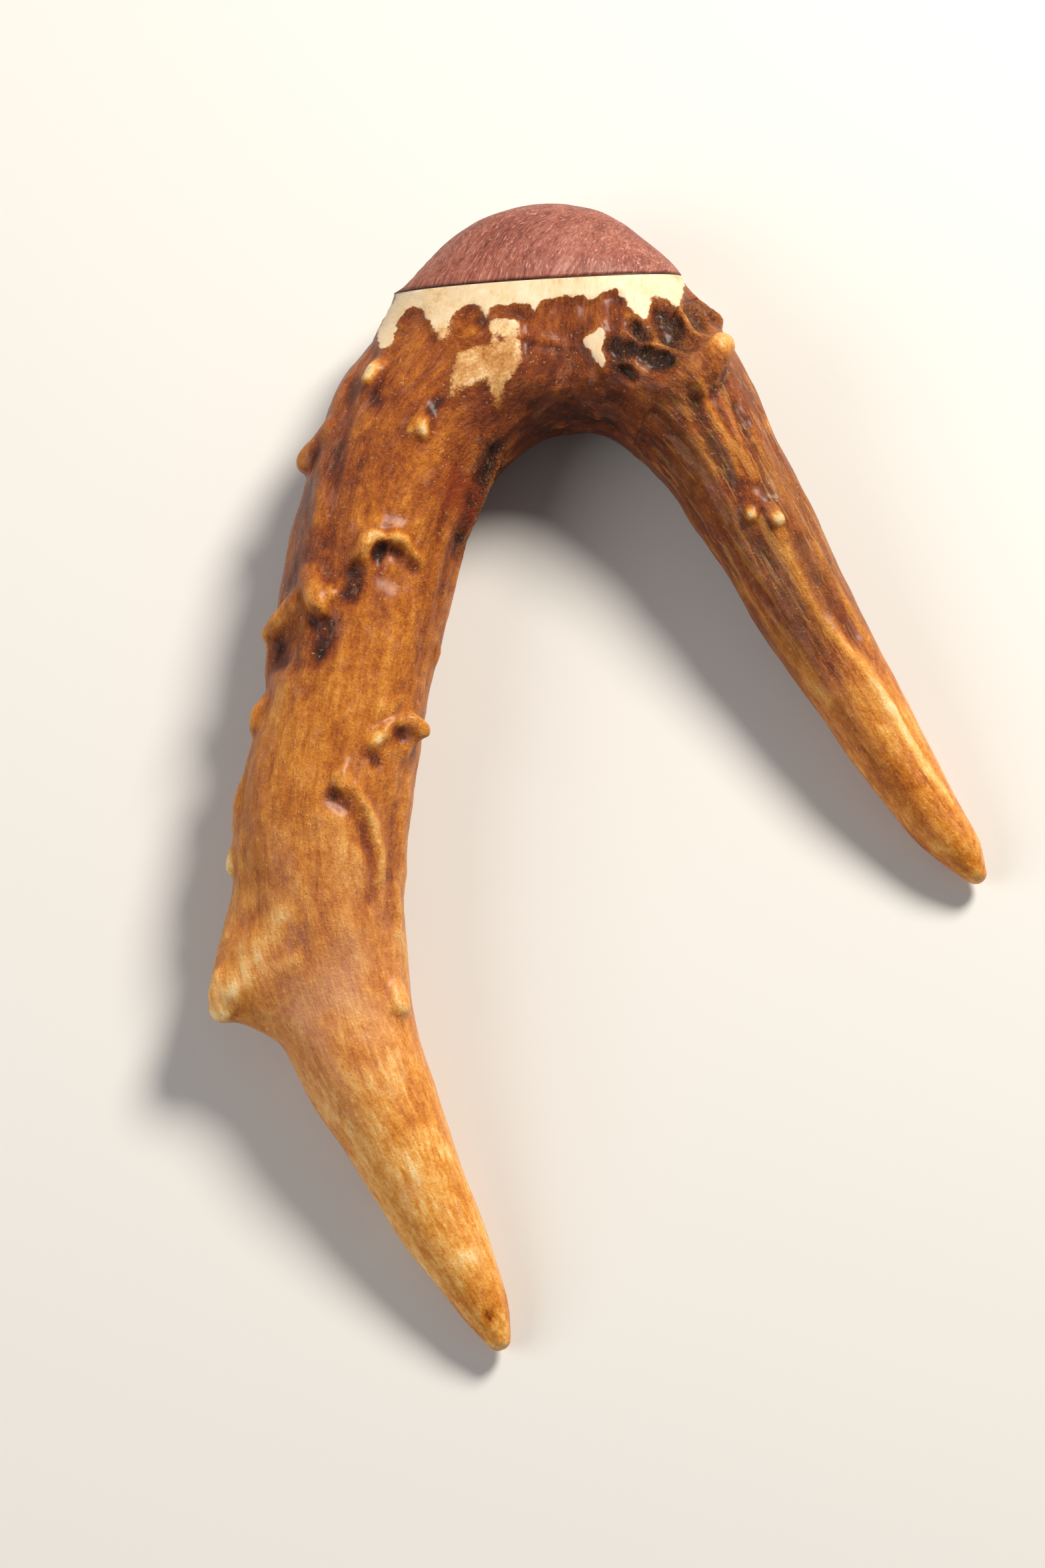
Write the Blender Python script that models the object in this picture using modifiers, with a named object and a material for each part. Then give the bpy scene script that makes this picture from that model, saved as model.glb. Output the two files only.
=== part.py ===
"""Antler lucet: a two-pronged cord-making fork of roe deer antler with a domed hardwood cap.

The fork lies flat: the prongs spread in the XY plane, +Y points to the cap and +Z is up.
The tables below are in millimetres. FOOTPRINT moves them so that the finished object's origin is
in the middle of its footprint, at the height of its lowest point.
"""

import math

import bmesh
import bpy
import numpy as np
from mathutils import Matrix, Vector
from mathutils.bvhtree import BVHTree

MM = 0.001
FOOTPRINT = Vector((0.22, -0.25, 0.12))
GAP = 0.3  # clearance between pieces that touch on the real object
RING_SPACING = 3.5
BARK_SEGMENTS = 24
CORE_SPACING = 6.0
CORE_SEGMENTS = 12

# A limb is a row of oval sections. Each one gives its outer edge (x, y), its inner edge (x, y),
# the height of its middle and its half height.
BEAM = [
    (-25.0, 71.0, 9.0, 72.0, 10.9, 10.2),
    (-25.8, 60.0, 10.8, 62.5, 10.9, 10.4),
    (-28.2, 54.5, 8.5, 51.0, 11.0, 10.5),
    (-31.3, 50.0, 3.5, 44.0, 11.0, 10.5),
    (-33.6, 44.8, -3.5, 43.3, 11.0, 10.5),
    (-34.8, 40.0, -8.8, 40.6, 11.0, 10.4),
    (-36.2, 35.6, -12.6, 36.6, 10.9, 10.3),
    (-38.2, 28.5, -16.0, 29.0, 10.8, 10.2),
    (-39.6, 20.0, -18.2, 20.0, 10.6, 10.0),
    (-41.0, 8.0, -20.7, 8.5, 10.4, 9.7),
    (-43.2, -1.0, -22.2, -1.0, 10.1, 9.5),
    (-44.7, -9.0, -23.3, -10.0, 9.8, 9.2),
    (-44.5, -17.0, -23.8, -19.0, 9.4, 8.8),
    (-42.2, -26.0, -23.2, -26.0, 8.8, 8.2),
    (-38.2, -36.6, -22.4, -31.8, 8.0, 7.4),
    (-34.5, -43.6, -20.9, -37.8, 7.3, 6.7),
    (-30.9, -48.6, -18.9, -44.2, 6.6, 6.0),
    (-27.2, -54.5, -16.6, -50.9, 5.7, 5.2),
    (-23.5, -60.0, -14.4, -56.4, 4.7, 4.5),
    (-19.2, -65.2, -12.4, -62.4, 4.0, 3.6),
    (-15.9, -69.3, -11.0, -67.5, 3.2, 2.7),
    (-13.7, -71.6, -10.9, -70.4, 2.8, 1.7),
]
TINE = [
    (11.0, 61.0, -17.0, 57.0, 11.0, 9.6),
    (14.2, 57.2, -12.5, 49.0, 11.0, 10.0),
    (16.8, 53.3, -7.0, 43.4, 11.0, 10.0),
    (18.4, 50.0, -0.5, 42.9, 10.9, 9.6),
    (20.6, 44.8, 5.0, 38.9, 10.5, 8.8),
    (22.6, 40.3, 9.0, 35.0, 10.0, 8.1),
    (25.4, 34.6, 12.1, 29.8, 9.4, 7.4),
    (28.6, 27.5, 16.0, 23.7, 8.7, 6.8),
    (31.3, 21.4, 20.5, 16.4, 7.9, 6.2),
    (35.6, 12.7, 25.7, 8.5, 7.0, 5.6),
    (39.3, 5.1, 30.4, 1.5, 6.1, 5.0),
    (42.3, -0.8, 34.7, -4.2, 5.0, 4.4),
    (45.0, -6.0, 38.5, -8.9, 4.0, 3.7),
    (47.0, -9.9, 42.2, -12.0, 3.5, 2.9),
    (47.6, -12.8, 44.9, -13.9, 3.0, 1.8),
]
STUB = [
    (-36.0, -4.0, -27.0, -30.0, 9.8, 6.4),
    (-41.4, -10.0, -31.5, -38.4, 9.6, 6.4),
    (-44.9, -17.0, -35.4, -37.8, 9.4, 5.6),
    (-46.0, -23.4, -39.9, -35.6, 9.3, 4.2),
    (-46.9, -28.2, -43.2, -34.3, 9.2, 2.8),
    (-47.0, -30.8, -45.0, -33.5, 9.2, 1.6),
]
TIP_REACH = 1.3

# Pearls are the small bony bumps of the bark: x, y, height of the middle (None puts it on the top
# surface), radius, and how far the ball stands out of the bark.
PEARLS = [
    (-28.2, 46.5, None, 1.5, 1.5),
    (-22.1, 38.8, None, 1.6, 1.6),
    (-34.9, 37.2, 12.0, 1.6, 1.6),
    (-28.2, 22.8, None, 2.2, 1.9),
    (-24.2, 22.6, None, 2.0, 1.6),
    (-34.1, 17.1, None, 1.9, 1.9),
    (-40.0, 14.2, 12.0, 2.2, 1.9),
    (-41.6, 3.2, 11.0, 1.4, 1.1),
    (-21.0, 1.0, 15.5, 1.9, 2.8),
    (-31.1, -6.6, None, 1.9, 1.7),
    (-44.4, -7.0, 10.0, 1.6, 0.9),
    (-45.0, -14.6, 9.0, 1.4, 1.4),
    (-24.0, -32.0, 11.0, 1.5, 1.2),
    (15.2, 51.3, None, 1.8, 2.2),
    (14.6, 56.6, 12.0, 1.9, 1.5),
    (20.0, 44.5, 11.0, 1.6, 0.8),
    (19.1, 28.2, None, 1.0, 1.0),
    (22.3, 27.8, None, 1.0, 1.0),
    (-16.0, 50.0, 0.0, 2.0, 0.5),
    (-31.5, 12.0, 0.0, 2.0, 0.6),
    (-33.0, -15.0, 0.0, 1.8, 0.6),
    (11.5, 46.5, 1.0, 2.0, 0.7),
]

# The hollow inside the hard outer antler, which the spongy core fills.
BEAM_HOLLOW = [
    (-21.5, 71.0, 5.5, 72.0, 10.9, 6.6),
    (-22.2, 60.2, 7.2, 62.2, 10.9, 6.7),
    (-24.4, 54.5, 1.0, 54.5, 11.0, 6.8),
    (-27.2, 49.0, -6.5, 48.2, 11.0, 6.8),
    (-30.0, 43.0, -12.2, 43.0, 11.0, 6.7),
    (-32.0, 36.0, -16.2, 36.3, 10.9, 6.6),
    (-34.4, 28.5, -19.6, 29.0, 10.8, 6.5),
    (-36.0, 20.0, -21.8, 20.0, 10.6, 6.3),
    (-37.4, 8.0, -24.3, 8.5, 10.4, 6.0),
    (-39.4, -1.0, -25.8, -1.0, 10.1, 5.8),
    (-40.8, -9.0, -27.0, -10.0, 9.8, 5.5),
    (-40.3, -17.0, -27.4, -18.5, 9.4, 5.1),
    (-38.0, -25.5, -27.0, -25.5, 8.8, 4.5),
    (-34.4, -33.0, -26.6, -30.5, 8.3, 3.8),
]
TINE_HOLLOW = [
    (2.5, 58.5, -13.0, 56.5, 11.0, 5.4),
    (10.4, 55.0, -7.0, 50.5, 11.0, 6.3),
    (13.2, 50.5, -0.5, 47.0, 11.0, 6.2),
    (15.8, 45.6, 5.5, 43.0, 10.7, 5.6),
    (18.9, 39.5, 12.0, 36.6, 10.2, 4.7),
    (22.0, 33.3, 15.6, 31.0, 9.5, 3.9),
    (25.2, 26.4, 19.5, 24.6, 8.7, 3.2),
    (27.9, 20.3, 23.8, 18.4, 7.9, 2.5),
]

# The sawn face: its middle, its turn about Z and its lean back from upright.
FACE_MIDDLE = (-7.5, 61.2, 10.9)
FACE_TURN = 4.0
FACE_LEAN = 19.0
FACE_HALF_WIDTH = 17.8
FACE_HALF_HEIGHT = 10.6
OFFCUT = 60.0
ABOVE = 60.0  # a height clear over the object

GLUE_THICKNESS = 0.3
CAP_HEIGHT = 9.8
CAP_DRIFT = 1.0  # the dome's crown sits this far towards +X of the face's middle
CAP_PROFILE = [(0.0, 1.0), (0.15, 0.94), (0.35, 0.83), (0.55, 0.7), (0.75, 0.54), (0.9, 0.36), (0.97, 0.2)]
CAP_SEGMENTS = 40
DOWEL_RADIUS = 3.0
DOWEL_IN_ANTLER = 8.0
DOWEL_IN_CAP = 6.0
DOWEL_CHAMFER = 0.5
CAP_BASE = GAP + GLUE_THICKNESS + GAP  # height of the cap's flat underside over the sawn face

FACE = (
    Matrix.Translation((Vector(FACE_MIDDLE) - FOOTPRINT) * MM)
    @ Matrix.Rotation(math.radians(FACE_TURN), 4, "Z")
    @ Matrix.Rotation(math.radians(FACE_LEAN - 90.0), 4, "X")
)


def place(x, y, z):
    """A point of the tables, in metres in the object's own frame."""
    return (Vector((x, y, z)) - FOOTPRINT) * MM


def clear_scene():
    for old in list(bpy.data.objects):
        bpy.data.objects.remove(old, do_unlink=True)


def collection(name):
    made = bpy.data.collections.new(name)
    bpy.context.scene.collection.children.link(made)
    return made


def material(name, colour, roughness):
    made = bpy.data.materials.new(name)
    made.use_nodes = True
    shader = made.node_tree.nodes["Principled BSDF"]
    shader.inputs["Base Color"].default_value = (*colour, 1.0)
    shader.inputs["Roughness"].default_value = roughness
    shader.inputs["Metallic"].default_value = 0.0
    return made


def add_object(name, bm, home, matrix=None):
    """Closes a bmesh into an object, with its faces pointing out."""
    bmesh.ops.recalc_face_normals(bm, faces=bm.faces)
    mesh = bpy.data.meshes.new(name)
    bm.to_mesh(mesh)
    bm.free()
    mesh.shade_smooth()
    mesh.set_sharp_from_angle(angle=math.radians(40.0))
    made = bpy.data.objects.new(name, mesh)
    if matrix is not None:
        made.matrix_world = matrix
    home.objects.link(made)
    return made


def as_cutter(obj):
    obj.hide_render = True
    obj.display_type = "WIRE"
    return obj


def boolean(target, operation, tool):
    step = target.modifiers.new(f"{operation.lower()}_{tool.name}", "BOOLEAN")
    step.operation = operation
    step.solver = "EXACT"
    step.object = tool


def smooth_sections(sections, spacing):
    """Reads a smooth run of sections through the given ones, about one spacing apart."""
    rows = np.array(sections, float)
    middles = np.column_stack((rows[:, 0:2] + rows[:, 2:4], 2.0 * rows[:, 4:5])) / 2.0
    along = np.concatenate(([0.0], np.cumsum(np.linalg.norm(np.diff(middles, axis=0), axis=1))))
    slopes = np.gradient(rows, along, axis=0)
    out = []
    for i in range(len(rows) - 1):
        length = along[i + 1] - along[i]
        count = max(1, round(length / spacing))
        for t in np.arange(count) / count:
            out.append(
                (2 * t**3 - 3 * t**2 + 1) * rows[i]
                + (t**3 - 2 * t**2 + t) * length * slopes[i]
                + (3 * t**2 - 2 * t**3) * rows[i + 1]
                + (t**3 - t**2) * length * slopes[i + 1]
            )
    out.append(rows[-1])
    return out


def section_ring(section, segments):
    """One oval section as points in metres."""
    x_out, y_out, x_in, y_in, z, half_height = section
    outer = place(x_out, y_out, z)
    inner = place(x_in, y_in, z)
    middle = (outer + inner) / 2.0
    side = (outer - inner) / 2.0
    up = Vector((0.0, 0.0, half_height * MM))
    angles = [2.0 * math.pi * k / segments for k in range(segments)]
    return [middle + side * math.cos(a) + up * math.sin(a) for a in angles]


def tube(bm, rings, tip):
    """Joins rings of equal length into a closed body, flat at the first and pointed at the tip."""
    loops = [[bm.verts.new(point) for point in ring] for ring in rings]
    count = len(loops[0])
    for low, high in zip(loops, loops[1:]):
        for k in range(count):
            after = (k + 1) % count
            bm.faces.new((low[k], low[after], high[after]))
            bm.faces.new((low[k], high[after], high[k]))
    bm.faces.new(loops[0])
    end = bm.verts.new(tip)
    for k in range(count):
        bm.faces.new((loops[-1][k], loops[-1][(k + 1) % count], end))


def limb(name, sections, spacing, segments, home, reach=TIP_REACH):
    """A bent, tapering limb with a rounded tip that runs on past its last section by the reach."""
    rings = [section_ring(s, segments) for s in smooth_sections(sections, spacing)]
    centres = [sum(ring, Vector()) / len(ring) for ring in (rings[-2], rings[-1])]
    heading = (centres[1] - centres[0]).normalized() * reach * MM
    last = rings[-1]
    for turn in (math.radians(30.0), math.radians(60.0)):
        rings.append([centres[1] + heading * math.sin(turn) + (p - centres[1]) * math.cos(turn) for p in last])
    bm = bmesh.new()
    tube(bm, rings, centres[1] + heading)
    return add_object(name, bm, home)


def core_limb(name, sections, inset, home):
    """A limb of the hollow, drawn in by the inset on every side."""
    drawn = []
    for x_out, y_out, x_in, y_in, z, half_height in sections:
        step = Vector((x_in - x_out, y_in - y_out)).normalized() * inset
        drawn.append((x_out + step.x, y_out + step.y, x_in - step.x, y_in - step.y, z, half_height - inset))
    return limb(name, drawn, CORE_SPACING, CORE_SEGMENTS, home, TIP_REACH - inset)


def evaluated_tree(obj):
    bpy.context.view_layer.update()
    return BVHTree.FromObject(obj, bpy.context.evaluated_depsgraph_get())


def pearl_group(surfaces, home):
    """All pearls as one object of low ball shapes, each seated in the bark."""
    trees = [evaluated_tree(s) for s in surfaces]
    bm = bmesh.new()
    for x, y, z, radius, proud in PEARLS:
        if z is None:
            hits = [t.ray_cast(place(x, y, ABOVE), Vector((0.0, 0.0, -1.0))) for t in trees]
            point, normal = max((h for h in hits if h[0]), key=lambda h: h[0].z)[:2]
        else:
            hits = [t.find_nearest(place(x, y, z)) for t in trees]
            point, normal = min(hits, key=lambda h: h[3])[:2]
        seat = point + normal * (proud - radius) * MM
        bmesh.ops.create_icosphere(bm, subdivisions=2, radius=radius * MM, matrix=Matrix.Translation(seat))
    return add_object("pearls", bm, home)


def cylinder(name, radius, low, high, home, segments=32):
    """A round bar on the sawn face's axis, from low to high along it."""
    bm = bmesh.new()
    bmesh.ops.create_cone(
        bm,
        cap_ends=True,
        segments=segments,
        radius1=radius * MM,
        radius2=radius * MM,
        depth=(high - low) * MM,
        matrix=Matrix.Translation((0.0, 0.0, (low + high) / 2.0 * MM)),
    )
    return add_object(name, bm, home, FACE)


def offcut(name, height, home):
    """Everything past a plane at the given height over the sawn face."""
    bm = bmesh.new()
    bmesh.ops.create_cube(
        bm, size=OFFCUT * MM, matrix=Matrix.Translation((0.0, 0.0, (height + OFFCUT / 2.0) * MM))
    )
    return as_cutter(add_object(name, bm, home, FACE))


def make_antler(parts, tools, saw):
    antler = limb("antler_fork", BEAM, RING_SPACING, BARK_SEGMENTS, parts)
    tine = as_cutter(limb("tine", TINE, RING_SPACING, BARK_SEGMENTS, tools))
    stub = as_cutter(limb("stub", STUB, RING_SPACING, BARK_SEGMENTS, tools))
    pearls = as_cutter(pearl_group((antler, tine), tools))
    hollow = as_cutter(core_limb("hollow", BEAM_HOLLOW, 0.0, tools))
    tine_hollow = as_cutter(core_limb("tine_hollow", TINE_HOLLOW, 0.0, tools))
    boolean(antler, "UNION", tine)
    boolean(antler, "UNION", stub)
    boolean(antler, "UNION", pearls)
    boolean(antler, "DIFFERENCE", saw)
    boolean(hollow, "UNION", tine_hollow)
    boolean(antler, "DIFFERENCE", hollow)
    antler.data.materials.append(material("antler_bark", (0.36, 0.15, 0.035), 0.42))
    return antler


def make_core(parts, tools, saw, bore):
    core = core_limb("spongy_core", BEAM_HOLLOW, GAP, parts)
    branch = as_cutter(core_limb("core_branch", TINE_HOLLOW, GAP, tools))
    boolean(core, "UNION", branch)
    boolean(core, "DIFFERENCE", saw)
    boolean(core, "DIFFERENCE", bore)
    core.data.materials.append(material("antler_core", (0.55, 0.42, 0.28), 0.85))
    return core


def make_glue(parts, bore):
    bm = bmesh.new()
    half = Matrix.Diagonal((FACE_HALF_WIDTH, FACE_HALF_HEIGHT, 1.0, 1.0))
    bmesh.ops.create_cone(
        bm,
        cap_ends=True,
        segments=48,
        radius1=MM,
        radius2=MM,
        depth=GLUE_THICKNESS * MM,
        matrix=Matrix.Translation((0.0, 0.0, (GAP + GLUE_THICKNESS / 2.0) * MM)) @ half,
    )
    glue = add_object("glue_line", bm, parts, FACE)
    boolean(glue, "DIFFERENCE", bore)
    glue.data.materials.append(material("dark_glue", (0.05, 0.03, 0.02), 0.5))
    return glue


def make_dowel(parts):
    dowel = cylinder("cap_dowel", DOWEL_RADIUS, GAP - DOWEL_IN_ANTLER, CAP_BASE + DOWEL_IN_CAP - GAP, parts)
    edge = dowel.modifiers.new("chamfer", "BEVEL")
    edge.width = DOWEL_CHAMFER * MM
    edge.segments = 1
    edge.limit_method = "ANGLE"
    dowel.data.materials.append(material("dowel_wood", (0.55, 0.36, 0.18), 0.6))
    return dowel


def make_cap(parts, bore):
    """An oval dome, flat where it is glued on."""
    rings = []
    for rise, spread in CAP_PROFILE:
        ring = []
        for k in range(CAP_SEGMENTS):
            angle = 2.0 * math.pi * k / CAP_SEGMENTS
            x = CAP_DRIFT * rise + FACE_HALF_WIDTH * spread * math.cos(angle)
            y = FACE_HALF_HEIGHT * spread * math.sin(angle)
            ring.append(Vector((x, y, CAP_BASE + CAP_HEIGHT * rise)) * MM)
        rings.append(ring)
    bm = bmesh.new()
    tube(bm, rings, Vector((CAP_DRIFT, 0.0, CAP_BASE + CAP_HEIGHT)) * MM)
    cap = add_object("wood_cap", bm, parts, FACE)
    boolean(cap, "DIFFERENCE", bore)
    cap.data.materials.append(material("dark_hardwood", (0.16, 0.045, 0.03), 0.45))
    return cap


def main():
    clear_scene()
    parts = collection("antler_lucet")
    tools = collection("cutters")
    saw = offcut("saw", 0.0, tools)
    bore = as_cutter(
        cylinder("dowel_bore", DOWEL_RADIUS + GAP, -DOWEL_IN_ANTLER, CAP_BASE + DOWEL_IN_CAP, tools)
    )
    make_antler(parts, tools, saw)
    make_core(parts, tools, saw, bore)
    make_glue(parts, bore)
    make_dowel(parts)
    make_cap(parts, bore)


main()
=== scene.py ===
"""Looks of the antler lucet: fine bark, sanded band, glue seam, hardwood cap, floor, light, camera.

Tables are in millimetres, in the same coordinates as the CAD tables. FOOTPRINT moves them to the
finished object's own frame.
"""

import math
from types import SimpleNamespace

import bmesh
import bpy
import numpy as np
from mathutils import Matrix, Vector, noise
from mathutils.bvhtree import BVHTree
from mathutils.kdtree import KDTree


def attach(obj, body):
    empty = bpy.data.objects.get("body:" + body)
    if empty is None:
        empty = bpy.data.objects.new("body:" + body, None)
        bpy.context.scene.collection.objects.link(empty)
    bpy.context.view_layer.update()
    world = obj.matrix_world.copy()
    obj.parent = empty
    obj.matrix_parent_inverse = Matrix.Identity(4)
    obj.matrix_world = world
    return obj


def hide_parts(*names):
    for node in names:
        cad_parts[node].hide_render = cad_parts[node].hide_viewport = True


MM = 0.001
FOOTPRINT = np.array((0.22, -0.25, 0.12))
TO_ROW = Matrix.Scale(MM, 4) @ Matrix.Translation(-Vector(FOOTPRINT))

# A limb is a row of oval sections: outer edge (x, y), inner edge (x, y), height, half height.
BEAM = [
    (-25.0, 71.0, 9.0, 72.0, 10.9, 10.2),
    (-25.8, 60.0, 10.8, 62.5, 10.9, 10.4),
    (-28.2, 54.5, 8.5, 51.0, 11.0, 10.5),
    (-31.3, 50.0, 3.5, 44.0, 11.0, 10.5),
    (-33.6, 44.8, -3.5, 43.3, 11.0, 10.5),
    (-34.8, 40.0, -8.8, 40.6, 11.0, 10.4),
    (-36.2, 35.6, -12.6, 36.6, 10.9, 10.3),
    (-38.2, 28.5, -16.0, 29.0, 10.8, 10.2),
    (-39.6, 20.0, -18.2, 20.0, 10.6, 10.0),
    (-41.0, 8.0, -20.7, 8.5, 10.4, 9.7),
    (-43.2, -1.0, -22.2, -1.0, 10.1, 9.5),
    (-44.7, -9.0, -23.3, -10.0, 9.8, 9.2),
    (-44.5, -17.0, -23.8, -19.0, 9.4, 8.8),
    (-42.2, -26.0, -23.2, -26.0, 8.8, 8.2),
    (-38.2, -36.6, -22.4, -31.8, 8.0, 7.4),
    (-34.5, -43.6, -20.9, -37.8, 7.3, 6.7),
    (-30.9, -48.6, -18.9, -44.2, 6.6, 6.0),
    (-27.2, -54.5, -16.6, -50.9, 5.7, 5.2),
    (-23.5, -60.0, -14.4, -56.4, 4.7, 4.5),
    (-19.2, -65.2, -12.4, -62.4, 4.0, 3.6),
    (-15.9, -69.3, -11.0, -67.5, 3.2, 2.7),
    (-13.7, -71.6, -10.9, -70.4, 2.8, 1.7),
]
TINE = [
    (11.0, 61.0, -17.0, 57.0, 11.0, 9.6),
    (14.2, 57.2, -12.5, 49.0, 11.0, 10.0),
    (16.8, 53.3, -7.0, 43.4, 11.0, 10.0),
    (18.4, 50.0, -0.5, 42.9, 10.9, 9.6),
    (20.6, 44.8, 5.0, 38.9, 10.5, 8.8),
    (22.6, 40.3, 9.0, 35.0, 10.0, 8.1),
    (25.4, 34.6, 12.1, 29.8, 9.4, 7.4),
    (28.6, 27.5, 16.0, 23.7, 8.7, 6.8),
    (31.3, 21.4, 20.5, 16.4, 7.9, 6.2),
    (35.6, 12.7, 25.7, 8.5, 7.0, 5.6),
    (39.3, 5.1, 30.4, 1.5, 6.1, 5.0),
    (42.3, -0.8, 34.7, -4.2, 5.0, 4.4),
    (45.0, -6.0, 38.5, -8.9, 4.0, 3.7),
    (47.0, -9.9, 42.2, -12.0, 3.5, 2.9),
    (47.6, -12.8, 44.9, -13.9, 3.0, 1.8),
]
STUB = [
    (-36.0, -4.0, -27.0, -30.0, 9.8, 6.4),
    (-41.4, -10.0, -31.5, -38.4, 9.6, 6.4),
    (-44.9, -17.0, -35.4, -37.8, 9.4, 5.6),
    (-46.0, -23.4, -39.9, -35.6, 9.3, 4.2),
    (-46.9, -28.2, -43.2, -34.3, 9.2, 2.8),
    (-47.0, -30.8, -45.0, -33.5, 9.2, 1.6),
]
TIP_REACH = 1.3
FINE_SPACING = 1.0
FINE_SEGMENTS = 72
SKIN_VOXEL = 0.41
BARE_VOXEL = 1.4 * SKIN_VOXEL

# The sawn face and what stands on it, as in the CAD model.
FACE_MIDDLE = (-7.5, 61.2, 10.9)
FACE_TURN = 4.0
FACE_LEAN = 19.0
FACE_HALF_WIDTH = 17.8
FACE_HALF_HEIGHT = 10.6
FACE = (
    Matrix.Translation(FACE_MIDDLE)
    @ Matrix.Rotation(math.radians(FACE_TURN), 4, "Z")
    @ Matrix.Rotation(math.radians(FACE_LEAN - 90.0), 4, "X")
)
RIM_POINTS = 160
GLUE_LOW = 0.38
GLUE_HIGH = 0.54
GLUE_INSET = 0.05
HAIR = 0.02  # what is left open between the glue and both faces
CAP_TOP = 10.7
CAP_DRIFT = 1.0  # how far the top stands to the right of the face's middle
CAP_RINGS = 39
# The dome's half width, as a share of its base, at shares of its height.
CAP_PROFILE = [(0.0, 1.0), (0.15, 0.94), (0.35, 0.83), (0.55, 0.7), (0.75, 0.54), (0.9, 0.36), (0.97, 0.2)]
# The filed facet on the cap's left: which way it faces, how far out it lies, how much is taken off.
FACET_HEADING = (-0.80, 0.42, 0.50)
FACET_DISTANCE = 11.9
FACET_SHARE = 0.75

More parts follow.
